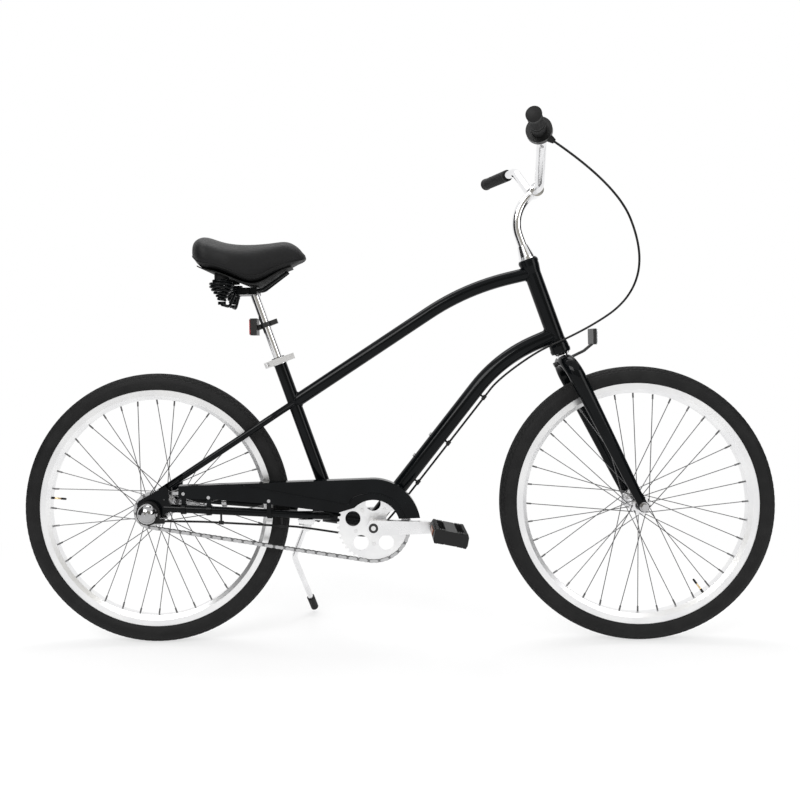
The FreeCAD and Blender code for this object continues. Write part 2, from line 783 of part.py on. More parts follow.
make_tyre("front_tyre", FRONT, -54.5)
make_rim("front_rim", FRONT)
make_spokes("front_spokes", FRONT, mm("front_flange_radius"), mm("front_flange_offset"))
front_end = size("front_spacing") / 2
make_hub("front_hub_shell", FRONT, size("front_hub_diameter") / 2, size("front_flange_radius"),
         size("front_flange_offset"), front_end - 8.0, axle_radius + 3.5)
make_tyre("rear_tyre", REAR, 174.8)
make_rim("rear_rim", REAR)
make_spokes("rear_spokes", REAR, mm("rear_flange_radius"), mm("rear_flange_offset"))
make_hub("rear_hub_shell", REAR, size("rear_hub_diameter") / 2, size("rear_flange_radius"),
         size("rear_flange_offset"), size("rear_flange_offset") + 8.0, axle_radius + 9.0)

# Front axle with its cones and nuts
tip_thick = 6.0
front_rod = round_bar("front_rod", axle_radius, size("front_spacing") + 32.0,
                      FRONT - LEFT * (mm("front_spacing") / 2 + 16.0), LEFT)
cone_bore = axle_radius + size("fit_gap")
cone_outline = [(cone_bore, front_end - 16.0), (cone_bore + 2.8, front_end - 16.0),
                (cone_bore + 2.8, front_end - 7.5), (cone_bore + 5.0, front_end - 7.5),
                (cone_bore + 5.0, front_end), (cone_bore, front_end)]
front_cones = [turned("front_cone_left", cone_outline, FRONT, LEFT),
               turned("front_cone_right", cone_outline, FRONT, -LEFT)]
front_nuts = [make_nut("front_nut_left", FRONT, mm("front_spacing") / 2 + tip_thick, 1),
              make_nut("front_nut_right", FRONT, mm("front_spacing") / 2 + tip_thick, -1)]
group("front_axle", [front_rod] + front_cones + front_nuts)

# Rear axle, brake arm, shift unit and cap
rear_end = size("dropout_spacing") / 2
rear_outer = drop_inner + drop_thick
rear_rod = round_bar("rear_rod", axle_radius, size("dropout_spacing") + 52.0,
                     REAR - LEFT * (drop_inner + 34.0), LEFT)
arm_inner = rear_end - 14.0
arm_thick = 4.0
left_cone = turned("rear_cone_left", [
    (cone_bore, 20.0), (cone_bore + 8.4, 20.0), (cone_bore + 8.4, size("rear_flange_offset") + 8.3),
    (20.0, size("rear_flange_offset") + 8.3), (20.0, arm_inner), (cone_bore, arm_inner),
], REAR, LEFT)
left_locknut = turned("rear_locknut_left", [
    (cone_bore, arm_inner + arm_thick), (11.0, arm_inner + arm_thick), (11.0, rear_end),
    (cone_bore, rear_end),
], REAR, LEFT)
right_cone = turned("rear_cone_right", [
    (cone_bore, 20.0), (cone_bore + 3.0, 20.0), (cone_bore + 3.0, size("chain_line") + 5.5),
    (12.0, size("chain_line") + 5.5), (12.0, rear_end), (cone_bore, rear_end),
], REAR, -LEFT)
left_nut = make_nut("rear_nut_left", REAR, rear_outer, 1)
right_nut = turned("rear_nut_right", [
    (cone_bore, rear_end + drop_thick), (12.0, rear_end + drop_thick),
    (12.0, rear_end + drop_thick + 4.0), (cone_bore, rear_end + drop_thick + 4.0),
], REAR, -LEFT)
group("rear_axle", [rear_rod, left_cone, left_locknut, right_cone, left_nut, right_nut])

unit_inner = rear_outer + 4.0
cable_end = Vector(REAR.x + 38.0, -unit_inner - 3.0, REAR.z - 19.5)
unit_base = bar(28.0, REAR - LEFT * unit_inner, REAR - LEFT * (unit_inner + 9.0))
unit_arm = block(Vector(REAR.x, -unit_inner - 7.0, cable_end.z - 5.0),
                 Vector(cable_end.x, -unit_inner, cable_end.z + 5.0))
unit_hole = bar(mm("axle_diameter") / 2 + fit, REAR - LEFT * 120.0, REAR + LEFT * 120.0)
made("shift_unit", unit_base.fuse(unit_arm).removeSplitter().cut(unit_hole))
cap_start = unit_inner + 9.0
turned("shift_cap", [
    (cone_bore, cap_start), (22.0, cap_start), (24.0, cap_start + 5.0, 24.5, (20.5, cap_start + 15.0)),
    (9.0, cap_start + 22.0), (0.0, cap_start + 23.5), (0.0, cap_start + 16.5), (cone_bore, cap_start + 16.5),
], REAR, -LEFT)

strap_x = REAR.x + 155.0
strap_spot = on_chainstay(strap_x, 1)
arm_tip = Vector(strap_x, 0, strap_spot.z - 24.5)
brake_arm = plate("brake_plate", mm("dropout_spacing") / 2 - 10.0, arm_thick, [[
    (drop_x - 2.0, drop_z - 17.0), (arm_tip.x + 8.0, arm_tip.z - 8.0), (arm_tip.x + 8.0, arm_tip.z + 6.0),
    (drop_x + 4.0, drop_z + 15.0), (drop_x - 15.0, drop_z + 8.0), (drop_x - 15.0, drop_z - 10.0),
]], [(drop_x, drop_z, cone_bore)])
strap_gap = 0.7


def stay_clip(x, side, tab_y, tab_reach, width):
    """A clip round a chainstay with a flat tab that stands up or hangs down from it."""
    spot = on_chainstay(x, side)
    half = width / 2
    ring = bar(stay_radius + 3.0, spot - Vector(half, 0, 0), spot + Vector(half, 0, 0))
    low_z = min(spot.z, spot.z + tab_reach)
    high_z = max(spot.z, spot.z + tab_reach)
    low_y = min(tab_y)
    high_y = max(tab_y)
    tab = block(Vector(x - half, low_y, low_z), Vector(x + half, high_y, high_z))
    near = spot.y
    bridge_z = spot.z + math.copysign(stay_radius + 1.5, tab_reach)
    bridge = block(Vector(x - half, min(low_y, near), bridge_z - 1.5),
                   Vector(x + half, max(high_y, near), bridge_z + 1.5))
    hole = bar(stay_radius + strap_gap, spot - Vector(40, 0, 0), spot + Vector(40, 0, 0))
    return ring.fuse(tab).fuse(bridge).removeSplitter().cut(hole)


arm_outer_y = drop_inner - 10.0
strap = made("brake_strap", stay_clip(strap_x, 1, (arm_outer_y, arm_outer_y + 2.5), -33.0, 12.0))
group("brake_arm", [brake_arm, strap])

# Bottom bracket cups, spindle and cranks
spindle_radius = size("spindle_diameter") / 2
shell_face = size("shell_width") / 2
cup_outline = [
    (spindle_radius + size("fit_gap"), shell_face - 20.0),
    (size("shell_diameter") / 2 - 3.5 - size("fit_gap"), shell_face - 20.0),
    (size("shell_diameter") / 2 - 3.5 - size("fit_gap"), shell_face),
    (size("shell_diameter") / 2 - 1.0, shell_face), (size("shell_diameter") / 2 - 1.0, shell_face + 4.0),
    (spindle_radius + size("fit_gap"), shell_face + 4.0),
]
group("bottom_bracket_cups", [turned("bracket_cup_left", cup_outline, CRANK, LEFT),
                              turned("bracket_cup_right", cup_outline, CRANK, -LEFT)])
crank_outer = mm("crank_inner_face") + mm("crank_thickness")
spindle_half = crank_outer - 3.0
crank_bore = spindle_radius + size("fit_gap") / 2
round_bar("crank_spindle", spindle_radius,
          2.0 * (size("crank_inner_face") + size("crank_thickness")) - 6.0,
          CRANK - LEFT * spindle_half, LEFT)
ring_radius = size("chain_pitch") / (2 * math.sin(math.pi / 42))
sprocket_radius = size("chain_pitch") / (2 * math.sin(math.pi / 20))
root = size("crank_root_radius")
eye = size("crank_eye_radius")
reach = size("crank_length")
crank_x = size("tyre_diameter") / 2 + size("crank_ahead") - size("wheelbase") / 2
crank_z = size("tyre_diameter") / 2 - size("crank_drop")


def make_crank(label, side, boss_start):
    """A crank arm in the (x, z) plane with a boss towards the middle; side is 1 for the left one."""
    forward = -side
    piece = new_body(label)
    outline = [
        (crank_x, crank_z - root), (crank_x + (reach + 1.5) * forward, crank_z - eye, eye * nearly_half,
                                    (crank_x + (reach + eye) * forward, crank_z)),
        (crank_x + (reach + 1.5) * forward, crank_z + eye),
        (crank_x, crank_z + root, root * nearly_half, (crank_x - root * forward, crank_z)),
    ]
    holes = [(crank_x, crank_z, crank_bore), (crank_x + reach * forward, crank_z, 7.0 + size("fit_gap"))]
    thickness = size("crank_thickness")
    boss_length = size("crank_inner_face") - boss_start
    inner = mm("crank_inner_face")
    if side > 0:
        top = crank_outer
        add_pad(piece, thickness, [outline], holes)
        boss = add_pad(piece, boss_length, [], [(crank_x, crank_z, 15.0), (crank_x, crank_z, crank_bore)],
                       mm("crank_thickness"))
    else:
        top = -inner
        add_pad(piece, thickness, [outline], holes)
        boss = add_pad(piece, boss_length, [], [(crank_x, crank_z, 15.0), (crank_x, crank_z, crank_bore)])
        boss.Reversed = True
    piece.Placement = Placement(Vector(0, top, 0), Rotation())


ring_outer = size("chain_line") + size("ring_thickness") / 2
make_crank("crank_arm_right", -1, ring_outer)
make_crank("crank_arm_left", 1, size("shell_width") / 2 + 7.0)


def make_toothed(label, centre, teeth, pitch_radius, face_y, thickness, bore, windows):
    """A toothed plate: a disc with a round gap for every roller, and round windows."""
    piece = new_body(label)
    disc = add_pad(piece, thickness, [], [(0.0, 0.0, pitch_radius + size("tooth_height")), (0.0, 0.0, bore)])
    sketch = new_sketch(piece, "XZ_Plane")
    add_circle(sketch, pitch_radius, 0.0, size("roller_diameter") / 2 + size("roller_gap"))
    gap = piece.newObject("PartDesign::Pocket", "roller_gap")
    gap.Profile = sketch
    gap.Type = "ThroughAll"
    gap.Reversed = True
    doc.recompute()
    if abs(gap.Shape.Volume - disc.Shape.Volume) < 1e-6:
        gap.Reversed = False
    gaps = piece.newObject("PartDesign::PolarPattern", "roller_gaps")
    gaps.Originals = [gap]
    gaps.Axis = (sketch, ["N_Axis"])
    gaps.Angle = 360
    gaps.Occurrences = teeth
    piece.Tip = gaps
    if windows:
        sketch = new_sketch(piece, "XZ_Plane")
        add_circle(sketch, 0.0, windows[0], windows[1])
        window = piece.newObject("PartDesign::Pocket", "window")
        window.Profile = sketch
        window.Type = "ThroughAll"
        window.Reversed = gap.Reversed
        pattern = piece.newObject("PartDesign::PolarPattern", "windows")
        pattern.Originals = [window]
        pattern.Axis = (sketch, ["N_Axis"])
        pattern.Angle = 360
        pattern.Occurrences = 5
        piece.Tip = pattern
    piece.Placement = Placement(centre + LEFT * face_y, Rotation())
    return piece


make_toothed("chainring", CRANK, 42, ring_radius, -mm("chain_line") + mm("ring_thickness") / 2,
             size("ring_thickness"), spindle_radius + 0.1, (ring_radius - 34.0, 18.0))
sprocket_disc = make_toothed("sprocket_disc", REAR, 20, sprocket_radius,
                             -mm("chain_line") + mm("sprocket_thickness") / 2,
                             size("sprocket_thickness"), 17.0 + size("fit_gap"), None)
driver = turned("sprocket_driver", [
    (cone_bore + 3.5, size("rear_flange_offset") + 8.3), (22.0, size("rear_flange_offset") + 8.3),
    (22.0, size("chain_line") - size("sprocket_thickness") / 2), (17.0, size("chain_line") - 1.2),
    (17.0, size("chain_line") + 5.0), (cone_bore + 3.5, size("chain_line") + 5.0),
], REAR, -LEFT)
group("rear_sprocket", [sprocket_disc, driver])

cap_disc = [round_bar("crank_cap_right", 11.0, 1.5, CRANK - LEFT * crank_outer, -LEFT),
            round_bar("crank_cap_left", 11.0, 1.5, CRANK + LEFT * crank_outer, LEFT)]
ring_bolts = []
for index in range(5):
    turn = math.radians(90.0 + 36.0 + 72.0 * index)
    spot = CRANK + Vector(44.0 * math.cos(turn), -float(ring_outer), 44.0 * math.sin(turn))
    ring_bolts.append(round_bar("ring_bolt_%d" % (index + 1), 4.5, 2.0, spot, -LEFT))
group("crankset_bolts", cap_disc + ring_bolts)

# Pedals: a spindle screwed into each arm, a platform that turns on it
EYE_RIGHT = CRANK + Vector(mm("crank_length"), 0, 0)
EYE_LEFT = CRANK - Vector(mm("crank_length"), 0, 0)
pedal_spindle = size("pedal_spindle_diameter") / 2
arm_face = size("crank_inner_face") + size("crank_thickness")
pedal_start = arm_face + 5.0
spindle_outline = [
    (0.0, arm_face - size("crank_thickness")), (7.0, arm_face - size("crank_thickness")),
    (7.0, arm_face), (9.0, arm_face), (9.0, pedal_start - 0.3), (pedal_spindle, pedal_start - 0.3),
    (pedal_spindle, pedal_start + size("pedal_width") - 3.5), (0.0, pedal_start + size("pedal_width") - 3.5),
]
group("pedal_spindles", [turned("pedal_spindle_right", spindle_outline, EYE_RIGHT, -LEFT),
                         turned("pedal_spindle_left", spindle_outline, EYE_LEFT, LEFT)])


def make_pedal(label, centre, side):
    """A platform round a barrel: two toothed rails, two windows and a reflector on either rail."""
    half_length = mm("pedal_length") / 2
    half_height = mm("pedal_height") / 2
    waist = mm("pedal_waist") / 2
    notch = mm("pedal_notch")
    near = float(pedal_start)
    far = near + mm("pedal_width")
    profile = [(half_length, half_height - 7.0), (half_length - 3.0, half_height),
               (half_length - 9.0, half_height), (half_length - 15.0, waist),
               (17.0, waist), (12.0, waist + 4.0)]
    profile += [(-x, z) for x, z in reversed(profile)]
    profile += [(x, -z) for x, z in reversed(profile)]
    corners = [centre + Vector(x, near, z) for x, z in profile]
    body = Part.Face(Part.makePolygon(corners + corners[:1])).extrude(LEFT * (far - near))
    window = block(centre + Vector(13.0, near + 11.0, -half_height - 1.0),
                   centre + Vector(half_length - 10.0, far - 11.0, half_height + 1.0))
    cutters = [window]
    teeth = round((far - near) / (2 * notch))
    step = (far - near - notch) / teeth
    for index in range(teeth):
        start = near + step * (index + 0.5)
        low = centre + Vector(half_length - 10.0, start, half_height - notch + 1.0)
        high = centre + Vector(half_length + 1.0, start + notch, half_height + 1.0)
        upper = block(low, high)
        cutters += [upper, upper.mirror(centre, Vector(0, 0, 1))]
    cutters += [cutter.mirror(centre, Vector(1, 0, 0)) for cutter in cutters]
    cutters.append(bar(mm("pedal_spindle_diameter") / 2 + fit, centre + LEFT * (near - 1.0),
                       centre + LEFT * (far - 3.0)))
    body = body.cut(cutters)
    lens = block(centre + Vector(half_length, near + 26.0, -6.0),
                 centre + Vector(half_length + 2.0, far - 26.0, 6.0))
    rear_lens = lens.mirror(centre, Vector(1, 0, 0))
    shapes = [body, lens, rear_lens]
    for shape in shapes:
        shape.rotate(centre, LEFT, mm("pedal_tilt"))
    if side < 0:
        shapes = [shape.mirror(Vector(), LEFT) for shape in shapes]
    made(label, *shapes)


make_pedal("pedal_right", EYE_RIGHT, -1)
make_pedal("pedal_left", EYE_LEFT, 1)


# Chain: two side bands on the pitch line with a roller for every link
def chain_face(offset):
    """The face inside the chain's loop, at that distance outside the pitch line."""
    big = float(ring_radius) + offset
    small = float(sprocket_radius) + offset
    along = CRANK - REAR
    lean = math.asin((big - small) / along.Length)
    rise = math.atan2(along.z, along.x)
    corners = []
    for sign in (1, -1):
        turn = rise + sign * (math.pi / 2 + lean)
        corners.append(Vector(math.cos(turn), 0, math.sin(turn)))
    front = unit(along)
    edges = [
        Part.LineSegment(REAR + corners[0] * small, CRANK + corners[0] * big).toShape(),
        Part.Arc(CRANK + corners[0] * big, CRANK + front * big, CRANK + corners[1] * big).toShape(),
        Part.LineSegment(CRANK + corners[1] * big, REAR + corners[1] * small).toShape(),
        Part.Arc(REAR + corners[1] * small, REAR - front * small, REAR + corners[0] * small).toShape(),
    ]
    return Part.Face(Part.Wire(edges)), corners


def chain_rollers(corners):
    """Roller centres: in the gaps of both wheels where the chain wraps them, evenly between."""
    spots = []
    front = unit(CRANK - REAR)
    ends = []
    for centre, teeth, radius, middle in ((REAR, 20, float(sprocket_radius), -front),
                                          (CRANK, 42, float(ring_radius), front)):
        used = []
        for index in range(teeth):
            turn = 2 * math.pi * index / teeth
            way = Vector(math.cos(turn), 0, math.sin(turn))
            if way.dot(middle) >= middle.dot(corners[0]) - 1e-9:
                used.append(centre + way * radius)
        spots += used
        ends.append([max(used, key=lambda spot: spot.dot(corner)) for corner in corners])
    for corner, rear_seat, front_seat in zip(corners, ends[0], ends[1]):
        rear_touch = REAR + corner * float(sprocket_radius)
        front_touch = CRANK + corner * float(ring_radius)
        rear_arc = (rear_seat - REAR).getAngle(corner) * float(sprocket_radius)
        front_arc = (front_seat - CRANK).getAngle(corner) * float(ring_radius)
        run = (front_touch - rear_touch).Length
        links = round((rear_arc + run + front_arc) / mm("chain_pitch"))
        step = (rear_arc + run + front_arc) / links
        way = unit(front_touch - rear_touch)
        spots += [rear_touch + way * (step * index - rear_arc) for index in range(1, links)]
    return spots


plate_half = mm("chain_plate_height") / 2
outer_face, tangent_ways = chain_face(plate_half)
inner_face, tangent_ways = chain_face(-plate_half)
band = outer_face.cut(inner_face).Faces[0]
inner_half = mm("chain_inner_width") / 2
plate_thick = mm("chain_plate_thickness")
near_band = band.extrude(-LEFT * plate_thick)
near_band.translate(-LEFT * (mm("chain_line") + inner_half))
far_band = near_band.copy()
far_band.translate(LEFT * (2 * inner_half + plate_thick))
rollers = []
for spot in chain_rollers(tangent_ways):
    middle = spot - LEFT * mm("chain_line")
    rollers.append(bar(mm("roller_diameter") / 2, middle - LEFT * inner_half, middle + LEFT * inner_half))
made("chain", near_band, far_band, *rollers)
print("chain links", len(rollers))

# Chain guard with its brackets and screws
outer_r = size("guard_outer_radius")
inner_r = size("guard_inner_radius")
guard_rear = REAR.x + 68.0
guard_top_rear = REAR.z + 60.5
lip = size("guard_thickness")
front_cos = math.cos(math.radians(10.0))
front_sin = math.sin(math.radians(10.0))
half_cos = math.cos(math.radians(50.0))
half_sin = math.sin(math.radians(50.0))
inner_cos = math.cos(math.radians(16.5))
inner_sin = math.sin(math.radians(16.5))
back_cos = math.cos(math.radians(135.0))
back_sin = math.sin(math.radians(135.0))
over_cos = math.cos(math.radians(75.0))
over_sin = math.sin(math.radians(75.0))
guard_outline = [
    (guard_rear, guard_top_rear), (crank_x, crank_z + outer_r, outer_r,
                                   (crank_x + outer_r * half_cos, crank_z + outer_r * half_sin)),
    (crank_x + outer_r * front_cos, crank_z + outer_r * front_sin),
    (crank_x + inner_r * inner_cos, crank_z + inner_r * inner_sin, inner_r,
     (crank_x + inner_r * over_cos, crank_z + inner_r * over_sin)),
    (crank_x + inner_r * back_cos, crank_z + inner_r * back_sin),
    (CRANK.x - 83.0, CRANK.z + 33.0), (CRANK.x - 254.0, CRANK.z + 56.0), (CRANK.x - 372.0, CRANK.z + 67.0),
    (guard_rear, REAR.z + 31.0),
]
lip_r = outer_r - lip
lip_outline = [
    (guard_rear, guard_top_rear), (crank_x, crank_z + outer_r, outer_r,
                                   (crank_x + outer_r * half_cos, crank_z + outer_r * half_sin)),
    (crank_x + outer_r * front_cos, crank_z + outer_r * front_sin),
    (crank_x + lip_r * front_cos, crank_z + lip_r * front_sin, lip_r,
     (crank_x + lip_r * half_cos, crank_z + lip_r * half_sin)),
    (crank_x, crank_z + lip_r), (guard_rear, guard_top_rear - lip),
]
guard = new_body("chain_guard")
add_pad(guard, size("guard_flange"), [lip_outline])
add_pad(guard, lip, [guard_outline], (), mm("guard_flange") - mm("guard_thickness"))
guard_out = mm("guard_plane")
guard.Placement = Placement(Vector(0, mm("guard_flange") - guard_out, 0), Rotation())
guard_in = guard_out - mm("guard_thickness")
clip_spots = [(REAR.x + 80.0, REAR.z + 42.5), (REAR.x + 140.0, REAR.z + 33.0),
              (CRANK.x - 246.0, CRANK.z + 62.5)]
clips = []
screws = []
for clip_x, clip_z in clip_spots:
    reach_up = clip_z + 6.0 - on_chainstay(clip_x, -1).z
    clips.append(stay_clip(clip_x, -1, (-guard_in, 2.0 - guard_in), reach_up, 11.0))
    head_spot = Vector(clip_x, -guard_out, clip_z)
    screws.append(round_bar("guard_screw_%d" % len(clips), 4.0, 2.0, head_spot, -LEFT))
made("guard_brackets", *clips)

# Screws that stay on the frame
bottle_base = CRANK - DOWN_UNDER * (down_radius + 0.1)
for index, along in enumerate((187.0, 251.0), start=1):
    screws.append(round_bar("bottle_bolt_%d" % index, 4.5, 3.0, bottle_base + DOWN * along, -DOWN_UNDER))

# Kickstand: a bracket under the chainstays, a leg on a sloping pivot, a rubber foot
stand_pivot = stay_bend + Vector(-mm("stand_pivot_back"), mm("stand_pivot_out"), -mm("stand_pivot_drop"))
STAND_AXIS = unit(Vector(0, math.cos(math.radians(16.9)), math.sin(math.radians(16.9))))
leg_radius = mm("stand_leg_diameter") / 2
leg_knee = stand_pivot + Vector(-40.0, 36.0, -100.0)
leg_foot = Vector(stand_pivot.x, stand_pivot.y + mm("stand_foot_out"), mm("stand_foot_height"))
stand_low = Vector(stand_pivot.x - 16.0, -20.0, stand_pivot.z + 3.0)
stand_top_z = stay_bend.z - stay_radius - 0.5
stand_high = Vector(stand_pivot.x + 20.0, stand_pivot.y - 14.0, stand_top_z)
under_plate = block(Vector(stand_low.x, -stay_bend.y - 6.0, stand_top_z - 4.0),
                    Vector(stand_high.x, stay_bend.y + 6.0, stand_top_z))
bracket = block(stand_low, stand_high).fuse(under_plate)
pivot_inner = stand_pivot - STAND_AXIS * 34.0
pivot_outer = stand_pivot - STAND_AXIS * 10.0
bracket = bracket.fuse(bar(12.0, pivot_inner, pivot_outer))
over_low = Vector(stand_pivot.x - 16.0, -stay_bend.y - 6.0, stay_bend.z + stay_radius + 1.5)
over_high = Vector(stand_pivot.x + 20.0, stay_bend.y + 6.0, stay_bend.z + stay_radius + 5.5)
bracket_top = block(over_low, over_high)
bolt_x = stand_pivot.x + 4.0
bracket = bracket.removeSplitter()
stays_fat = both_sides(bent_rod([stay_root, stay_bend, stay_end], [60.0], stay_radius + 0.3))
for stay in stays_fat:
    bracket = bracket.cut(stay)
    bracket_top = bracket_top.cut(stay)
bolt = bar(4.0, Vector(bolt_x, 0, stand_low.z), Vector(bolt_x, 0, over_high.z))
bolt_room = bar(4.0 + fit, Vector(bolt_x, 0, stand_low.z - 30.0), Vector(bolt_x, 0, over_high.z + 30.0))
bolt = bolt.fuse(bar(7.5, Vector(bolt_x, 0, over_high.z), Vector(bolt_x, 0, over_high.z + 5.0)))
pin_bar = bar(5.0, pivot_inner, stand_pivot + STAND_AXIS * 8.0)
bracket = bracket.cut(bolt_room).fuse(pin_bar).removeSplitter()
made("kickstand_bracket", bracket, bracket_top.cut(bolt_room))
screws.append(made("bracket_bolt", bolt.removeSplitter()))
group("frame_screws", screws)
leg = bent_rod([stand_pivot, leg_knee, leg_foot], [40.0], leg_radius)
hinge_eye = bar(12.0, stand_pivot - STAND_AXIS * (10.0 - mm("run_gap")), stand_pivot + STAND_AXIS * 8.0)
leg = leg.fuse(hinge_eye).removeSplitter()
leg = leg.cut(bar(5.0 + fit, stand_pivot - STAND_AXIS * 40.0, stand_pivot + STAND_AXIS * 8.0))
leg_way = unit(leg_foot - leg_knee)
foot_top = leg_foot - leg_way * 38.0
foot = bar(leg_radius + 3.0, foot_top, leg_foot + leg_way * 4.0)
foot = foot.cut(bar(leg_radius + fit, foot_top - leg_way, leg_foot))
made("kickstand_leg", leg)
made("kickstand_foot", foot)

# Fork: steerer with crown race, two blades with their tips
crown = on_head(crown_height)
BLADE = unit(FRONT - crown)
AHEAD = unit(LEFT.cross(-BLADE))
blade_length = (FRONT - crown).Length
half_depth = mm("blade_depth") / 2
half_width = mm("blade_width") / 2
bend = mm("crown_bend")
offset = mm("blade_offset")


def blade_section(centre, normal, depth, width):
    """An oval section of the blade: depth fore and aft, width across."""
    side = unit(normal.cross(AHEAD))
    if depth >= width:
        curve = Part.Ellipse(centre + AHEAD * depth, centre + side * width, centre)
    else:
        curve = Part.Ellipse(centre + side * width, centre + AHEAD * depth, centre)
    return Part.Wire([curve.toShape()])


def blade_form(out, inset, start_y, end_gap):
    """A blade's form on the side out points to, drawn in all round by the inset."""
    depth = half_depth - inset
    width = half_width - inset
    stub_face = Part.Face(blade_section(crown + out * start_y, out, depth, width))
    stub = stub_face.extrude(out * (offset - bend - start_y))
    turn_start = crown + out * (offset - bend)
    turn_face = Part.Face(blade_section(turn_start, out, depth, width))
    start = crown + out * offset + BLADE * bend
    quarter = turn_face.revolve(turn_start + BLADE * bend, AHEAD, -90)
    if not quarter.BoundBox.isInside(start):
        quarter = turn_face.revolve(turn_start + BLADE * bend, AHEAD, 90)
    end = crown + out * offset + BLADE * (blade_length - end_gap)
    taper = Part.makeLoft([blade_section(start, BLADE, depth, width),
                           blade_section(end, BLADE, mm("blade_tip_depth") / 2 - inset,
                                         mm("blade_tip_width") / 2 - inset)], True, True)
    return stub.fuse([quarter, taper])


def make_blade(out):
    """A blade: a tube closed at the crown, with a slotted tip for the axle."""
    inner = FRONT + out * (mm("front_spacing") / 2)
    outer = inner + out * tip_thick
    low = min(inner, outer, key=lambda spot: spot.y)
    tab = Part.makeBox(22.0, tip_thick, 30.0)
    tab.Placement = Placement(low - AHEAD * 11.0, Rotation(AHEAD, LEFT, -BLADE, "ZXY"))
    hole = mm("axle_diameter") / 2 + fit
    room = bar(hole, inner - out, outer + out)
    mouth = Part.makeBox(2 * hole, tip_thick + 2.0, 30.0)
    mouth.Placement = Placement(low + AHEAD * hole - LEFT, Rotation(-AHEAD, LEFT, BLADE, "ZXY"))
    wall = mm("blade_wall")
    blade = blade_form(out, 0.0, 0.0, 16.0).fuse([bar(13.0, inner, outer), tab]).removeSplitter()
    return blade.cut(blade_form(out, wall, wall, 44.0)).cut(room).cut(mouth)


blades = [make_blade(LEFT), make_blade(-LEFT)]
made("fork_blades", *blades)
steerer_radius = mm("steerer_diameter") / 2
cup_foot = head_start - 9.0
cup_head = head_end + 10.0
steerer_top = cup_head + 18.0
steerer = bar(steerer_radius, crown - HEAD * 4.0, on_head(steerer_top))
quill_radius = mm("bar_diameter") / 2
steerer = steerer.cut(bar(quill_radius + fit, on_head(cup_foot + 20.0), on_head(steerer_top + 1.0)))
for blade in blades:
    steerer = steerer.cut(blade)
steerer = max(steerer.Solids, key=lambda solid: solid.CenterOfMass.z)
race_low = on_head(cup_foot - mm("run_gap") - 5.0)
race_high = on_head(cup_foot - mm("run_gap"))
race = Part.makeCone(18.0, 23.0, 5.0, race_low, HEAD).cut(bar(steerer_radius + fit, race_low, race_high))
for blade in blades:
    race = race.cut(blade)
made("fork_steerer", steerer, race)
quill_bore = size("bar_diameter") / 2 + size("fit_gap")
steerer_bore = size("steerer_diameter") / 2 + size("fit_gap")
turned("headset_locknut", [
    (steerer_bore, size("run_gap")), (cup_outer - 2.0, size("run_gap")), (cup_outer - 2.0, 2.0),
    (18.5, 2.0), (18.5, 8.0), (13.0, 35.0), (quill_bore, 35.0), (quill_bore, 18.5), (steerer_bore, 18.5),
], on_head(cup_head), HEAD)

# Stem, handlebar, grips and shifter
stem_corner = on_head(head_end + mm("stem_rise"))
BAR = stem_corner + Vector(mm("bar_forward"), 0, mm("bar_rise"))
bar_radius = mm("bar_diameter") / 2
stem_points = [on_head(head_start + 78.0), stem_corner, BAR]
stem = bent_tube(stem_points, [mm("stem_bend")], quill_radius, mm("stem_wall"))
stem = stem.fuse(bar(bar_radius + 5.5, BAR - LEFT * 21.0, BAR + LEFT * 21.0)).removeSplitter()
stem = stem.cut(bar(bar_radius + fit, BAR - LEFT * 30.0, BAR + LEFT * 30.0))
made("stem", stem)
bar_foot = BAR + LEFT * mm("bar_foot_y")
bar_knee = BAR + Vector(-mm("bar_knee_back"), mm("bar_knee_y"), mm("bar_knee_rise"))
bar_end = BAR + Vector(-mm("bar_end_back"), mm("bar_end_y"), mm("bar_end_rise"))
bar_points = [bar_end, bar_knee, bar_foot, across(bar_foot), across(bar_knee), across(bar_end)]
made("handlebar", bent_tube(bar_points, [55.0, 50.0, 50.0, 55.0], bar_radius, mm("tube_wall")))
GRIP_LEFT = unit(bar_knee - bar_end)
GRIP_RIGHT = across(GRIP_LEFT)
grip_radius = size("grip_diameter") / 2
grip_bore = size("bar_diameter") / 2 + size("fit_gap")


def make_grip(label, end, way, length):
    """A rubber grip closed over the bar's end."""
    return turned(label, [
        (0.0, -4.0), (grip_radius, -4.0), (grip_radius + 1.0, -2.0), (grip_radius + 1.0, 2.0),
        (grip_radius, 6.0), (grip_radius, length), (grip_bore, length), (grip_bore, -0.1), (0.0, -0.1),
    ], end, way)


group("grips", [make_grip("grip_left", bar_end, GRIP_LEFT, size("grip_length")),
                make_grip("grip_right", across(bar_end), GRIP_RIGHT, size("short_grip_length"))])
twist_start = size("short_grip_length") + size("run_gap")
twist_end = twist_start + size("twist_length")
twist_radius = size("twist_diameter") / 2
turned("twist_ring", [
    (grip_bore, twist_start), (twist_radius - 2.0, twist_start), (twist_radius, twist_start + 3.0),
    (twist_radius, twist_end), (grip_bore, twist_end),
], across(bar_end), GRIP_RIGHT)
shifter_start = float(twist_end) + mm("run_gap")
shifter_low = across(bar_end) + GRIP_RIGHT * shifter_start
shifter_high = shifter_low + GRIP_RIGHT * mm("shifter_width")
nose_end = BAR + Vector(-3.0, -207.0, 63.0)
NOSE = unit(Vector(150.0, 50.0, -86.0))
shifter = bar(mm("shifter_diameter") / 2, shifter_low, shifter_high)
shifter = shifter.fuse(Part.makeCone(11.0, 5.5, 24.0, nose_end - NOSE * 24.0, NOSE)).removeSplitter()
shifter = shifter.cut(bar(bar_radius + fit, across(bar_end), across(bar_knee)))
made("shifter_body", shifter)

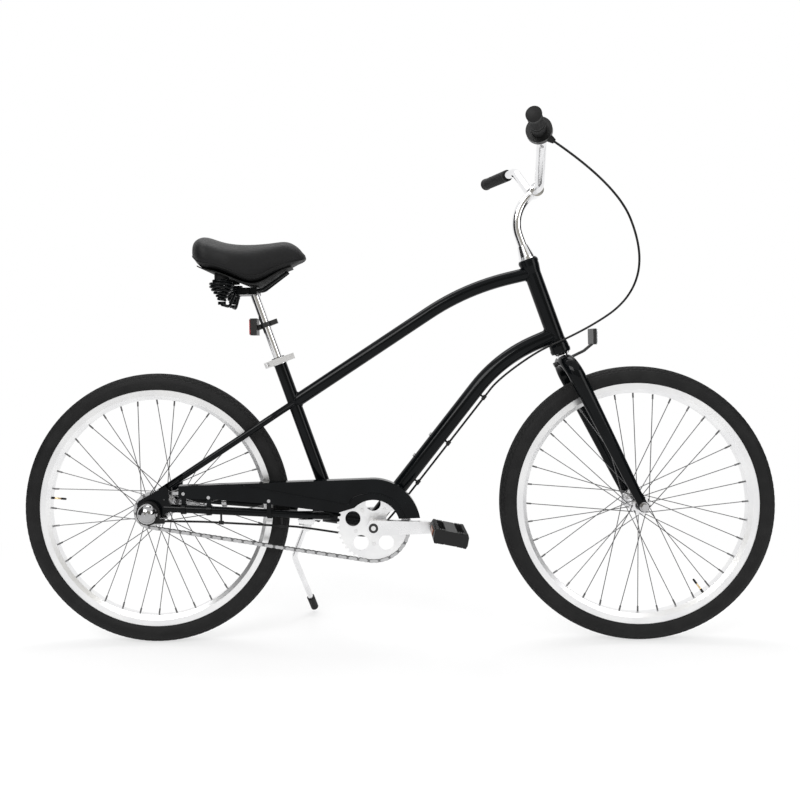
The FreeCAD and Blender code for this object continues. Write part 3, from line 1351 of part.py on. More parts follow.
# Shift cable: a free loop from the shifter, then along the frame to the hub
cable_radius = mm("cable_diameter") / 2
loop_end = head_base + Vector(-28.8, -28.0, 8.2)
loop_points = [nose_end + NOSE * 0.1, BAR + Vector(145.0, -157.0, -22.0),
               BAR + Vector(217.0, -112.0, -167.0), head_base + Vector(145.2, -80.0, 112.2),
               head_base + Vector(48.2, -46.0, 42.2), loop_end]
loop_bends = [150.0, 120.0, 80.0, 150.0]
made("shift_cable_loop", bent_rod(loop_points, loop_bends, cable_radius))
cable_drop = down_radius + 9.0
under_low = CRANK + DOWN * 50.0 + DOWN_UNDER * cable_drop
under_high = CRANK + DOWN * (down_leg - 46.0) + DOWN_UNDER * cable_drop
hub_end = cable_end + Vector(0.9, 0, 0)
loop_way = unit(loop_end - loop_points[-2])
run_points = [loop_end, loop_end + loop_way * 36.0, under_high, under_low,
              CRANK + Vector(-2.0, -13.0, -36.0),
              CRANK + Vector(-60.0, -22.0, -27.0), CRANK + Vector(-176.0, -30.0, -6.5),
              REAR + Vector(115.0, -56.0, -24.5), hub_end]
run_bends = [45.0, 120.0, 45.0, 35.0, 60.0, 200.0, 120.0]
held_cable = bent_rod(run_points, run_bends, cable_radius)
made("shift_cable_frame", held_cable)
for name, points, bends in (("loop", loop_points, loop_bends), ("run", run_points, run_bends)):
    length = bent_wire(points, bends).Length
    volume = bent_rod(points, bends, cable_radius).Volume
    print("cable", name, "length", round(length, 1), "volume share",
          round(volume / (length * math.pi * cable_radius ** 2), 4), "bends", bends)


def cable_guide(spot, way, anchor):
    """A short sleeve round the cable with a stalk to the tube."""
    sleeve_shape = bar(cable_radius + 2.0, spot - way * 6.0, spot + way * 6.0)
    stalk = bar(2.5, spot, anchor)
    guide = sleeve_shape.fuse(stalk).removeSplitter()
    return guide.cut(bar(cable_radius + fit, spot - way * 20.0, spot + way * 20.0))


guides = []
for share in (0.28, 0.52, 0.8):
    spot = CRANK + DOWN * (down_leg * share) + DOWN_UNDER * cable_drop
    guide = cable_guide(spot, DOWN, spot - DOWN_UNDER * 9.0)
    guides.append(guide.cut(bar(down_radius + weld, CRANK, down_corner)))
low_start = run_points[-3]
low_run = run_points[-2] - low_start
low_way = unit(low_run)
for share in (0.18, 0.78):
    spot = low_start + low_run * share
    guide = cable_guide(spot, low_way, on_chainstay(spot.x, -1))
    guides.append(guide.cut(bar(stay_radius + weld, across(stay_bend), across(stay_end))))
made("cable_guides", *guides)

# Front reflector on a bent bracket bolted through the crown
crown_front = crown + AHEAD * half_depth
reflector = crown + Vector(68.6, 0, 56.6)
bracket_rod = bent_rod([crown - AHEAD * (half_depth - 4.0), crown_front + AHEAD * 34.0,
                        reflector - UP * 17.0], [20.0], 3.5)
housing = block(reflector + Vector(-4.0, -23.0, -19.0), reflector + Vector(4.0, 23.0, 19.0))
bracket_rod = bracket_rod.cut(housing)
for blade in blades:
    bracket_rod = bracket_rod.cut(blade)
for tube in (steerer, race):
    bracket_rod = bracket_rod.cut(tube)
bracket_rod = max(bracket_rod.Solids, key=lambda solid: solid.Volume)
front_lens = block(reflector + Vector(4.0, -21.0, -17.0), reflector + Vector(6.5, 21.0, 17.0))
crown_rear = crown - AHEAD * (half_depth + weld)
crown_nut = bar(6.0, crown_rear, crown_rear - AHEAD * 8.0)
made("front_reflector", housing, bracket_rod, front_lens, crown_nut)

# Seat post, clamp, saddle frame, springs, base and cover
post_start = on_seat(seat_rise - mm("post_inside_tube"))
PERCH = on_seat(seat_rise + mm("post_above_tube"))
post_length = (PERCH - post_start).Length
post_bore = post_radius - size("post_wall")
turned("seat_post", [
    (post_bore, 0.0), (post_radius, 0.0), (post_radius, post_length), (post_bore, post_length),
], post_start, SEAT)
rail_radius = mm("rail_diameter") / 2
spring_spot = PERCH + Vector(-mm("spring_back"), mm("spring_y"), -mm("spring_seat_drop"))
spring_top = spring_spot + UP * mm("spring_height")
rail_points = [PERCH + Vector(86.2, 10.0, 44.0), PERCH + Vector(24.2, 20.0, 0),
               PERCH + Vector(-37.8, 24.0, 0), spring_spot + Vector(12.0, -30.0, -10.5),
               spring_spot - UP * 7.0]
rail_bends = [25.0, 16.0, 14.0]
rail = bent_rod(rail_points, rail_bends, rail_radius)
seat_disc = bar(9.5, spring_spot - UP * 7.0, spring_spot)
made("saddle_frame", *both_sides(rail.fuse(seat_disc).removeSplitter()))
clamp = block(PERCH + Vector(-35.8, -31.0, -11.0), PERCH + Vector(13.2, 31.0, 6.0))
for rail_room in both_sides(bent_rod(rail_points, rail_bends, rail_radius + fit)):
    clamp = clamp.cut(rail_room)
clamp = clamp.cut(bar(mm("post_diameter") / 2 + fit, post_start, PERCH + SEAT * 0.1))
clamp = max(clamp.Solids, key=lambda solid: solid.Volume)
clamp_nut = bar(8.0, PERCH + Vector(-11.8, 31.0, -3.0), PERCH + Vector(-11.8, 38.0, -3.0))
made("saddle_clamp", clamp, *both_sides(clamp_nut))


def biarc(start, start_way, end, end_way):
    """Two tangent arcs between two points with given directions."""
    gap = end - start
    ways = start_way + end_way
    square = 2 * (1 - start_way.dot(end_way))
    along = gap.dot(ways)
    reach_out = (-along + math.sqrt(along * along + square * gap.dot(gap))) / square
    first = start + start_way * reach_out
    second = end - end_way * reach_out
    joint = (first + second) * 0.5
    edges = []
    for begin, corner, finish in ((start, first, joint), (joint, second, end)):
        chord = finish - begin
        half_turn = (corner - begin).getAngle(chord)
        middle = (begin + finish) * 0.5
        sagitta = chord.Length / 2 * math.tan(half_turn / 2)
        edges.append(Part.Arc(begin, middle + unit(corner - middle) * sagitta, finish).toShape())
    return edges


def spring_point(turns):
    """A point of the spring's middle line: a narrow foot, wide near the top, drawn in at the head."""
    share = turns / mm("spring_turns")
    wide_share = 0.8
    if share < wide_share:
        blend = 0.5 - 0.5 * math.cos(math.pi * share / wide_share)
        radius = mm("spring_foot_radius") + blend * (mm("spring_wide_radius") - mm("spring_foot_radius"))
    else:
        blend = 0.5 - 0.5 * math.cos(math.pi * (share - wide_share) / (1 - wide_share))
        radius = mm("spring_wide_radius") + blend * (mm("spring_head_radius") - mm("spring_wide_radius"))
    wire = mm("spring_wire") / 2 + 0.2
    rise = wire + share * (mm("spring_height") - 2 * wire)
    turn = 2 * math.pi * turns
    return spring_spot + Vector(radius * math.cos(turn), radius * math.sin(turn), rise)


def spring_way(turns):
    """The spring's direction there."""
    small = 1e-4
    return unit(spring_point(turns + small) - spring_point(turns - small))


spring_edges = []
steps = round(mm("spring_turns") * 4)
for index in range(steps):
    one = index * mm("spring_turns") / steps
    two = (index + 1) * mm("spring_turns") / steps
    spring_edges += biarc(spring_point(one), spring_way(one), spring_point(two), spring_way(two))
spring_line = Part.Wire(spring_edges)
spring_ring = Part.Wire([Part.makeCircle(mm("spring_wire") / 2, spring_point(0.0), spring_way(0.0))])
spring = spring_line.makePipeShell([spring_ring], True, False)
made("saddle_springs", *both_sides(spring))
samples = [index / 24 for index in range(int(mm("spring_turns") * 24) + 1)]
least = min((spring_point(one) - spring_point(two)).Length
            for one in samples for two in samples if two - one > 0.5)
print("spring gap", round(least - mm("spring_wire"), 2), "volume share",
      round(spring.Volume / (spring_line.Length * math.pi * mm("spring_wire") ** 2 / 4), 4))

SADDLE = [
    # ahead of the post, half width, top, skirt edge (both above the post), crown
    (-134.8, 74.0, 120.0, 76.0, 12.0),
    (-118.8, 100.0, 128.5, 56.0, 22.0),
    (-78.8, 111.0, 121.5, 42.0, 26.0),
    (-33.8, 108.0, 111.5, 25.0, 28.0),
    (11.2, 84.0, 111.5, 13.5, 28.0),
    (56.2, 56.0, 116.0, 37.0, 24.0),
    (96.2, 41.0, 114.0, 56.0, 18.0),
    (123.2, 27.0, 94.0, 70.0, 8.0),
]


def cover_section(x, half, top, low, crown_depth):
    """A section of the cover: flat below, sides drawn in, a crown on top."""
    shoulder = top - crown_depth
    points = [Vector(x, -half + 8.0, low), Vector(x, -half, low + (shoulder - low) * 0.55),
              Vector(x, -half + 9.0, shoulder), Vector(x, 0, top), Vector(x, half - 9.0, shoulder),
              Vector(x, half, low + (shoulder - low) * 0.55), Vector(x, half - 8.0, low)]
    points = [PERCH + point for point in points]
    return Part.Wire([
        Part.Arc(points[0], points[1], points[2]).toShape(),
        Part.Arc(points[2], points[3], points[4]).toShape(),
        Part.Arc(points[4], points[5], points[6]).toShape(),
        Part.LineSegment(points[6], points[0]).toShape(),
    ])


cover = Part.makeLoft([cover_section(*row) for row in SADDLE], True, False)
made("saddle_cover", cover)


def below(depth):
    """The cover moved straight down."""
    lower = cover.copy()
    lower.translate(UP * -depth)
    return lower


base_gap = 0.5
base_foot = base_gap + mm("base_thickness")
inset = 14.0
rim_line = [PERCH + Vector(row[0], inset - row[1], -52.0) for row in SADDLE[1:7]]
rim_line += [across(spot) for spot in reversed(rim_line)]
prism = Part.Face(Part.makePolygon(rim_line + rim_line[:1])).extrude(UP * 140.0)
base = below(base_foot).common(prism).cut(below(base_gap))
base = min(base.Solids, key=lambda solid: solid.CenterOfMass.z)
tower = bar(17.0, spring_top, spring_top + UP * 26.0).cut(below(base_foot + weld))
tower = min(tower.Solids, key=lambda solid: solid.CenterOfMass.z)
made("saddle_base", base, *both_sides(tower))

# Tail reflector on a band round the post
band_low = on_seat(seat_rise + 74.0)
band = bar(mm("post_diameter") / 2 + 3.0, band_low, band_low + SEAT * 12.0)
band = band.fuse(seat_block((-30.0, 0.0), (-5.0, 5.0), (0.0, 12.0), band_low))
band = band.fuse(seat_block((0.0, 24.0), (-6.0, 6.0), (0.0, 12.0), band_low))
tail = band_low + Vector(-29.4, 0, 1.0)
tail_housing = block(tail + Vector(-8.0, -22.0, -20.5), tail + Vector(8.0, 22.0, 20.5))
band = band.fuse(tail_housing).removeSplitter()
band = band.cut(bar(mm("post_diameter") / 2 + fit, band_low - SEAT * 40.0, band_low + SEAT * 40.0))
tail_lens = block(tail + Vector(-10.5, -20.0, -18.5), tail + Vector(-8.0, 20.0, 18.5))
made("tail_reflector", band, tail_lens)

doc.recompute()

NODES = [
    "head_tube", "headset_cups", "bottom_bracket_shell", "seat_tube", "top_tube", "down_tube",
    "rear_dropouts", "chainstays", "seatstays", "seat_collar", "collar_lever", "front_tyre", "front_rim",
    "front_spokes", "front_hub_shell", "rear_tyre", "rear_rim", "rear_spokes", "rear_hub_shell", "front_axle",
    "rear_axle", "shift_unit", "shift_cap", "brake_arm", "bottom_bracket_cups", "crank_spindle",
    "crank_arm_right", "crank_arm_left", "chainring", "rear_sprocket", "crankset_bolts", "pedal_spindles",
    "pedal_right", "pedal_left", "chain", "chain_guard", "guard_brackets", "frame_screws",
    "kickstand_bracket", "kickstand_leg", "kickstand_foot", "fork_blades", "fork_steerer", "headset_locknut",
    "stem", "handlebar", "grips", "twist_ring", "shifter_body", "shift_cable_loop", "shift_cable_frame",
    "cable_guides", "front_reflector", "seat_post", "saddle_frame", "saddle_clamp", "saddle_springs",
    "saddle_cover", "saddle_base", "tail_reflector",
]
for item in doc.Objects:
    if "Invalid" in item.State or "Error" in item.State:
        raise RuntimeError("not made: " + item.Label)
for node in NODES:
    shape = doc.getObject(node).Shape
    if shape.isNull() or not shape.isValid():
        raise RuntimeError("no valid shape: " + node)
    shape.exportStep("parts/%s.step" % node)
print(len(NODES), "pieces written")
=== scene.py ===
# %% [markdown]
# # Dressing a cruiser bicycle
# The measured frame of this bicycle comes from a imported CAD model: sixty named nodes on
# twelve moving bodies. This lesson keeps the rigid metal as it is and gives it finishes,
# and it makes new surfaces for what CAD shows too plainly: tyres, saddle, springs, chain,
# cable, grips and pedal treads. All lengths are in metres, in the CAD model's own frame.

# %% Load the measured frame
import json
import math

import bpy
import numpy as np
from mathutils import Matrix

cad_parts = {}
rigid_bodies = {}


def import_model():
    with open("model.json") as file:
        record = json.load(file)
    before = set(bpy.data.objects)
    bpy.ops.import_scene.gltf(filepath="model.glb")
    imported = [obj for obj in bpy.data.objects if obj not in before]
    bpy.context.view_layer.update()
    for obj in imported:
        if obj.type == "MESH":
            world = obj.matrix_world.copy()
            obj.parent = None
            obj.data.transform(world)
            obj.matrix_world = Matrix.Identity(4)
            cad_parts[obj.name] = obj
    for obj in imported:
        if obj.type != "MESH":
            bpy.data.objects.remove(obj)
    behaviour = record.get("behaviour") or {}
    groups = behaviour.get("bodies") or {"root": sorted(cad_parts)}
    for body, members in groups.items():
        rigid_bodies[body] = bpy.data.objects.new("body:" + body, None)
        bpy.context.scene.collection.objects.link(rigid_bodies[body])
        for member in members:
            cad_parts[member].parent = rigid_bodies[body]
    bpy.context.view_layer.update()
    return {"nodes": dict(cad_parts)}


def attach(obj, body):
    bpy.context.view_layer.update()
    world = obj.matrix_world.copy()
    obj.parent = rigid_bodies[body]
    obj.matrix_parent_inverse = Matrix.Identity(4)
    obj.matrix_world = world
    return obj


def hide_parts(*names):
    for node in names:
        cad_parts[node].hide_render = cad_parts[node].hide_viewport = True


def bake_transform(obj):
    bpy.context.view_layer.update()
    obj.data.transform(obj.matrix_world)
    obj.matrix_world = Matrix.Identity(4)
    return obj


for leftover in list(bpy.data.objects):
    bpy.data.objects.remove(leftover)
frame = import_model()
nodes = frame["nodes"]

# %% [markdown]
# A few places serve many pieces: both axles lie at the same height, one in front of the
# middle and one behind it, the cranks turn about a third axis, and a pedal hangs on each
# crank's eye, tilted a little nose down. They are the CAD model's own numbers.

# %% Axles, cranks and pedals
AXLE_X, AXLE_Z = 0.58, 0.3265
CRANK_X, CRANK_Z = -0.051, 0.2875
PEDAL_RIGHT_X, PEDAL_LEFT_X = 0.119, -0.221
PEDAL_TILT = math.radians(11.0)
print("wheelbase", 2.0 * AXLE_X, "crank axis", (CRANK_X, CRANK_Z))

# %% [markdown]
# ## The camera
# The photograph was taken from the drive side, near enough for perspective to show: the
# near pedal is larger than the far one. Both wheels are true circles, so their outlines
# gave the camera's place, its small turns and its lens. The frame was cropped off centre,
# which a camera shift repeats without turning the camera.

# %% Place the camera
yaw, pitch, roll = np.radians([1.79, 0.87, -0.93])
across = np.array([math.cos(yaw), math.sin(yaw), 0.0])
ahead = np.array([-math.sin(yaw) * math.cos(pitch), math.cos(yaw) * math.cos(pitch), math.sin(pitch)])
upward = np.cross(across, ahead)
camera_right = math.cos(roll) * across + math.sin(roll) * upward
camera_up = -math.sin(roll) * across + math.cos(roll) * upward
stand = np.eye(4)
stand[:3, :3] = np.column_stack([camera_right, camera_up, -ahead])
stand[:3, 3] = (-0.040, -1.796, 0.705)
lens = bpy.data.cameras.new("photo_camera")
lens.lens = 33.1
lens.sensor_width = 36.0
lens.shift_x = 0.06
lens.shift_y = -0.0775
lens.clip_start = 0.05
camera = bpy.data.objects.new("photo_camera", lens)
bpy.context.scene.collection.objects.link(camera)
camera.matrix_world = Matrix(stand.tolist())
bpy.context.scene.camera = camera
bpy.context.scene.view_settings.view_transform = "Standard"
print("camera at", camera.location, "lens", lens.lens)

# %% [markdown]
# ## Shader maths in Python
# A finish is a sum of small patterns, and a long chain of nodes is hard to read. This
# class holds one output socket. Plus, minus, times and the rest add a Math node, and
# every other node comes from one method that sets the node up before it links it.


# %% One class for a socket
class Wire:
    """A value in a node tree: one output socket, with arithmetic that adds Math nodes."""

    def __init__(self, tree, output=None):
        self.tree = tree
        self.output = output

    def node(self, kind, settings=None, sockets=None, out=0):
        """A new node: its settings first, then a value or a link for each socket named."""
        made = self.tree.nodes.new("ShaderNode" + kind)
        for key, value in (settings or {}).items():
            if key == "stops":
                elements = made.color_ramp.elements
                while len(elements) < len(value):
                    elements.new(0.5)
                for element, (place, shade) in zip(elements, value):
                    element.position = place
                    element.color = (shade, shade, shade, 1.0)
            else:
                setattr(made, key, value)
        for key, value in (sockets or {}).items():
            if isinstance(value, Wire):
                self.tree.links.new(value.output, made.inputs[key])
            else:
                made.inputs[key].default_value = value
        return Wire(self.tree, made.outputs[out])

    def math(self, operation, first, second=0.0):
        """A Math node on one or two values."""
        return self.node("Math", {"operation": operation}, {0: first, 1: second})

    def __add__(self, other):
        return self.math("ADD", self, other)

    __radd__ = __add__

    def __sub__(self, other):
        return self.math("SUBTRACT", self, other)

    def __rsub__(self, other):
        return self.math("SUBTRACT", other, self)

    def __mul__(self, other):
        return self.math("MULTIPLY", self, other)

    __rmul__ = __mul__

    def __pow__(self, other):
        return self.math("POWER", self, other)

    def __gt__(self, other):
        return self.math("GREATER_THAN", self, other)

    def __lt__(self, other):
        return self.math("LESS_THAN", self, other)

    def __abs__(self):
        return self.math("ABSOLUTE", self)

    def clip(self, low, high):
        """0 at low, 1 at high, and a smooth step between them."""
        return self.node("MapRange", {"interpolation_type": "SMOOTHSTEP"},
                         {0: self, 1: low, 2: high, 3: 0.0, 4: 1.0})

    def colour(self, first, second):
        """The first colour where this value is 0, the second where it is 1."""
        return self.node("Mix", {"data_type": "RGBA"}, {0: self, 6: first, 7: second}, 2)


def rgb(red, green, blue):
    """A colour with full alpha."""
    return (red, green, blue, 1.0)


def tinted(shade, tint=(1.0, 1.0, 1.0)):
    """A grey of this shade, with each of its three parts multiplied by the tint's."""
    return rgb(*(shade * part for part in tint))


print("socket class ready")

# %% [markdown]
# ## Studio, floor and light
# A bicycle on white is lit by big soft boxes. The camera, mirrors and glass see plain
# white, and the light that falls on things comes from a studio that is dim at its two
# sides. The floor fades to white away from the wheels, and keeps the shadow under them.

# %% World
def seen_white(start):
    """1 for a ray from the camera, off a mirror or through glass, and 0 for light that falls on things."""
    camera_ray, mirror_ray, glass_ray = (start.node("LightPath", None, None, "Is %s Ray" % kind)
                                         for kind in ("Camera", "Glossy", "Transmission"))
    return start.math("MAXIMUM", start.math("MAXIMUM", camera_ray, mirror_ray), glass_ray)


world = bpy.data.worlds.new("studio")
bpy.context.scene.world = world
world.use_nodes = True
start = Wire(world.node_tree)
direction = start.node("TexCoord", None, None, "Generated")
side_y = start.node("SeparateXYZ", None, {0: direction}, "Y")
side_z = start.node("SeparateXYZ", None, {0: direction}, "Z")
walls = start.node("ValToRGB", {"stops": [(0.0, 0.95), (0.13, 0.85), (0.24, 0.1), (0.6, 0.05),
                                          (0.74, 0.8), (1.0, 1.0)]}, {0: side_y * 0.5 + 0.5})
above = side_z.clip(0.55, 0.85)
studio = above.colour(walls, rgb(0.95, 0.95, 0.95))
backdrop = seen_white(start).colour(studio, rgb(1.0, 1.0, 1.0))
light = world.node_tree.nodes["Background"]
world.node_tree.links.new(backdrop.output, light.inputs["Color"])
light.inputs["Strength"].default_value = 1.0
print("studio world, white to the camera")


# %% Floor and lamps
def grid_faces(rows, columns, close_rows=False, close_columns=False):
    """Quads between neighbours of a grid numbered row by row; a closed side wraps round."""
    row, column = np.meshgrid(np.arange(rows if close_rows else rows - 1),
                              np.arange(columns if close_columns else columns - 1), indexing="ij")
    row, column = row.ravel(), column.ravel()
    below, beside = (row + 1) % rows, (column + 1) % columns
    return np.stack([row * columns + column, below * columns + column,
                     below * columns + beside, row * columns + beside], axis=1)


def put_mesh(name, points, faces, finish, body=None, smooth=True):
    """Put whole arrays of points and quads into a new object, its faces turned outwards by their volume."""
    points = np.asarray(points, float).reshape(-1, 3)
    one, two, three, four = (points[faces[:, k]] for k in range(4))
    volume = np.einsum("ij,ij->i", one, np.cross(two, three) + np.cross(three, four)).sum()
    if volume < 0:
        faces = faces[:, ::-1]
    mesh = bpy.data.meshes.new(name)
    mesh.from_pydata(points.tolist(), [], faces.tolist())
    mesh.polygons.foreach_set("use_smooth", np.full(len(faces), smooth))
    mesh.materials.append(finish)
    piece = bpy.data.objects.new(name, mesh)
    bpy.context.scene.collection.objects.link(piece)
    if body:
        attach(piece, body)
    return piece


floor_finish = bpy.data.materials.new("pale_floor")
floor_finish.use_nodes = True
start = Wire(floor_finish.node_tree)
shader = floor_finish.node_tree.nodes["Principled BSDF"]
shader.inputs["Base Color"].default_value = rgb(0.86, 0.86, 0.86)
shader.inputs["Roughness"].default_value = 0.9
spot = start.node("TexCoord", None, None, "Object")
away_x = start.node("SeparateXYZ", None, {0: spot}, "X")
away_y = start.node("SeparateXYZ", None, {0: spot}, "Y")
reach = ((away_x * away_x) * 0.45 + away_y * away_y) ** 0.5
share = seen_white(start) * (0.62 + 0.38 * reach.clip(0.45, 1.3))
glow = start.node("Emission", None, {0: rgb(1.0, 1.0, 1.0), 1: 1.0})
mixed = start.node("MixShader", None, {0: share, 1: Wire(start.tree, shader.outputs[0]), 2: glow})
start.tree.links.new(mixed.output, start.tree.nodes["Material Output"].inputs["Surface"])
ticks = np.linspace(-8.0, 8.0, 9)
floor_points = np.stack([*np.meshgrid(ticks, ticks, indexing="ij"), np.full((9, 9), -0.0005)], axis=-1)
floor = put_mesh("floor", floor_points, grid_faces(9, 9)[:, ::-1], floor_finish, smooth=False)


def soft_box(name, place, aim, wide, high, watts):
    """A rectangular lamp that looks at a point."""
    lamp = bpy.data.lights.new(name, "AREA")
    lamp.shape = "RECTANGLE"
    lamp.size = wide
    lamp.size_y = high
    lamp.energy = watts
    holder = bpy.data.objects.new(name, lamp)
    bpy.context.scene.collection.objects.link(holder)
    back = np.array(place, float) - np.array(aim, float)
    back /= np.linalg.norm(back)
    level = np.cross((0.0, 0.0, 1.0), back)
    level /= np.linalg.norm(level)
    turn = np.eye(4)
    turn[:3, :3] = np.column_stack([level, np.cross(back, level), back])
    turn[:3, 3] = place
    holder.matrix_world = Matrix(turn.tolist())
    return holder


soft_box("key_box", (-1.6, -2.6, 2.7), (0.0, 0.0, 0.5), 2.2, 1.4, 70.0)
soft_box("fill_box", (2.4, -1.9, 1.5), (0.0, 0.0, 0.5), 1.2, 1.8, 22.0)
soft_box("top_box", (0.0, 0.6, 3.2), (0.0, 0.0, 0.5), 2.6, 1.2, 40.0)
print("floor and three soft boxes")

# %% [markdown]
# Chrome in white surroundings would be white all over. In the photograph the tubes have a
# dark line near either edge and a grey middle: a studio hangs black cloths, called flags,
# beside the object, and the room behind the camera is unlit. Two bowed sheets stand left
# and right, and a grey one in front. Only reflections see them: they take no light off the
# bicycle, and no camera finds them in its picture.


# %% Black flags and the dim room
def bowed_sheet(start, end, low, high, bow, rows=9, columns=5):
    """A standing sheet from start to end on the floor, from low to high, bowed out by a half sine."""
    along, height = np.meshgrid(np.linspace(0.0, 1.0, rows), np.linspace(low, high, columns), indexing="ij")
    start, end, bow = (np.asarray(part, float)[:, None, None] for part in (start, end, bow))
    level = start + along * (end - start) + np.sin(np.pi * along) * bow
    return np.stack([level[0], level[1], height], axis=-1)


def unlit(name, shade):
    """A cloth of one grey, the same in any light."""
    cloth = bpy.data.materials.new(name)
    cloth.use_nodes = True
    inputs = cloth.node_tree.nodes["Principled BSDF"].inputs
    inputs["Base Color"].default_value = rgb(0.01, 0.01, 0.01)
    inputs["Roughness"].default_value = 1.0
    inputs["Emission Color"].default_value = shade
    inputs["Emission Strength"].default_value = 1.0
    return cloth


black_cloth = unlit("black_cloth", rgb(0.01, 0.01, 0.01))
dim_room = unlit("dim_room", rgb(0.36, 0.345, 0.305))
for name, cloth, sheet in (
        ("flag_right", black_cloth, bowed_sheet((2.6, -2.6), (2.6, 0.9), 0.0, 3.0, (0.3, 0.0))),
        ("flag_left", black_cloth, bowed_sheet((-2.6, -2.6), (-2.6, 0.9), 0.0, 3.0, (-0.3, 0.0))),
        ("room_front", dim_room, bowed_sheet((-2.2, -3.3), (2.2, -3.3), 0.6, 3.2, (0.0, -0.4)))):
    flag = put_mesh(name, sheet, grid_faces(*sheet.shape[:2]), cloth)
    flag.visible_camera = False
    flag.visible_diffuse = False
    flag.visible_transmission = False
    flag.visible_shadow = False
print("sheets for the reflections", 3)

# %% [markdown]
# ## Finishes
# Every finish starts from the same Principled shader. What is the same all over is set on
# its sockets, and what changes over the surface is drawn by noise in Object coordinates,
# because a CAD node has no map of its own. A noise of scale 500 repeats about every 2 mm.


# %% A new finish
def finish(name, constants):
    """A material whose shader has these constant sockets, and a wire to grow its nodes from."""
    material = bpy.data.materials.new(name)
    material.use_nodes = True
    for key, value in constants.items():
        material.node_tree.nodes["Principled BSDF"].inputs[key].default_value = value
    return material, Wire(material.node_tree)


def feed(material, **wires):
    """Link wires to the shader's sockets: underscores stand for spaces in a socket's name."""
    shader = material.node_tree.nodes["Principled BSDF"]
    for key, wire in wires.items():
        material.node_tree.links.new(wire.output, shader.inputs[key.replace("_", " ")])


def object_place(start):
    """The place on the piece, in metres."""
    return start.node("TexCoord", None, None, "Object")


def axis_of(start, place, letter):
    """One coordinate of a place."""
    return start.node("SeparateXYZ", None, {0: place}, letter)


def noise(start, place, scale, detail=3.0):
    """A soft random pattern between 0 and 1."""
    return start.node("TexNoise", None, {"Vector": place, "Scale": scale, "Detail": detail})


def relief(start, height, strength, depth=0.001):
    """A Bump node of that height."""
    return start.node("Bump", None, {"Strength": strength, "Distance": depth, "Height": height})


def from_axle(start, place, x, z):
    """Distance from a cross axis through (x, z), and the turn round it."""
    dx = axis_of(start, place, "X") - x
    dz = axis_of(start, place, "Z") - z
    return (dx * dx + dz * dz) ** 0.5, start.math("ARCTAN2", dz, dx)


print("finish helpers ready")

# %% [markdown]
# Black enamel is not one black: the spray leaves a fine orange peel that breaks the
# reflections up, and a little dust lies in the gloss. A clear coat gives the sharp white
# lines along the tubes. The guard is thinner sheet, and its peel is finer.


# %% Gloss black paint
def black_enamel(name, gloss, peel):
    """Black paint under a clear coat: peel is the size of its ripples."""
    material, start = finish(name, {"Coat Weight": 0.06, "Coat Roughness": 0.03, "Specular IOR Level": 0.1})
    place = object_place(start)
    cloud = noise(start, place, 14.0)
    dust = noise(start, place, 2400.0, 1.0).clip(0.68, 0.8)
    colour = cloud.clip(0.3, 0.7).colour(rgb(0.0015, 0.0019, 0.0023), rgb(0.0029, 0.0036, 0.0042))
    feed(material, Base_Color=(dust * 0.35).colour(colour, rgb(0.012, 0.012, 0.0125)),
         Roughness=gloss + 0.06 * cloud + 0.1 * dust,
         Normal=relief(start, noise(start, place, peel), 0.05))
    return material


frame_paint = black_enamel("frame_paint", 0.1, 420.0)
guard_paint = black_enamel("guard_paint", 0.12, 600.0)
print("painted finishes", frame_paint.name, guard_paint.name)


# %% [markdown]
# Chrome, polished alloy and plain steel differ in two things: how wide their highlights
# are, and what broke the polish. Chrome has faint smears, the rims are turned and show
# fine rings round the axle, and drawn steel is a little darker and rougher. The spokes,
# the hub's cap and the chain's inner parts get darker copies of steel and chrome: painted
# shade for the dark that they reflect or lie in.


# %% Bright metals
def bright_metal(name, shade, low, high, grain, stretch, tint=(1.0, 1.0, 1.01)):
    """Metal with smears between two roughnesses and a fine grain, stretched along the piece."""
    bright, dull = tinted(shade, tint), tinted(0.93 * shade, tint)
    material, start = finish(name, {"Metallic": 1.0})
    place = object_place(start)
    smear = noise(start, place, 22.0).clip(0.3, 0.7)
    turned = start.node("Mapping", None, {"Vector": place, "Scale": stretch})
    scratch = noise(start, turned, grain, 2.0)
    feed(material, Base_Color=smear.colour(bright, dull),
         Roughness=low + (high - low) * smear + 0.05 * scratch,
         Normal=relief(start, scratch, 0.03))
    return material


def turned_metal(name, shade, axle_x, axle_z, rings):
    """Metal cut on a lathe: rings of fine grooves round its axle, in the roughness and the relief."""
    material, start = finish(name, {"Metallic": 1.0})
    place = object_place(start)
    far, turn = from_axle(start, place, axle_x, axle_z)
    across = axis_of(start, place, "Y")
    polar = start.node("CombineXYZ", None, {0: far * rings, 1: turn * 3.0, 2: across * rings})
    groove = noise(start, polar, 1.0, 2.0)
    smear = noise(start, place, 18.0).clip(0.3, 0.7)
    feed(material, Base_Color=smear.colour(tinted(shade), tinted(shade, (0.94, 0.94, 0.95))),
         Roughness=0.26 + 0.1 * groove + 0.06 * smear,
         Normal=relief(start, groove, 0.06, 0.0004))
    return material


chrome = bright_metal("chrome", 0.86, 0.04, 0.1, 900.0, (1.0, 1.0, 1.0))
polished_alloy = bright_metal("polished_alloy", 0.86, 0.18, 0.28, 1200.0, (0.1, 1.0, 1.0))
drawn_steel = bright_metal("drawn_steel", 0.5, 0.12, 0.24, 1500.0, (1.0, 1.0, 0.2))
# a darker copy of the chain's steel: painted shade on the inner plates and the rollers
chain_steel_painted_shade = bright_metal("chain_steel_painted_shade", 0.18, 0.2, 0.32, 1500.0, (1.0, 1.0, 1.0))
# chrome painted darker for the hub's cap: painted shade for its dark reflections
cap_chrome_painted_shade = bright_metal("cap_chrome_painted_shade", 0.4, 0.05, 0.12, 900.0, (1.0, 1.0, 1.0))
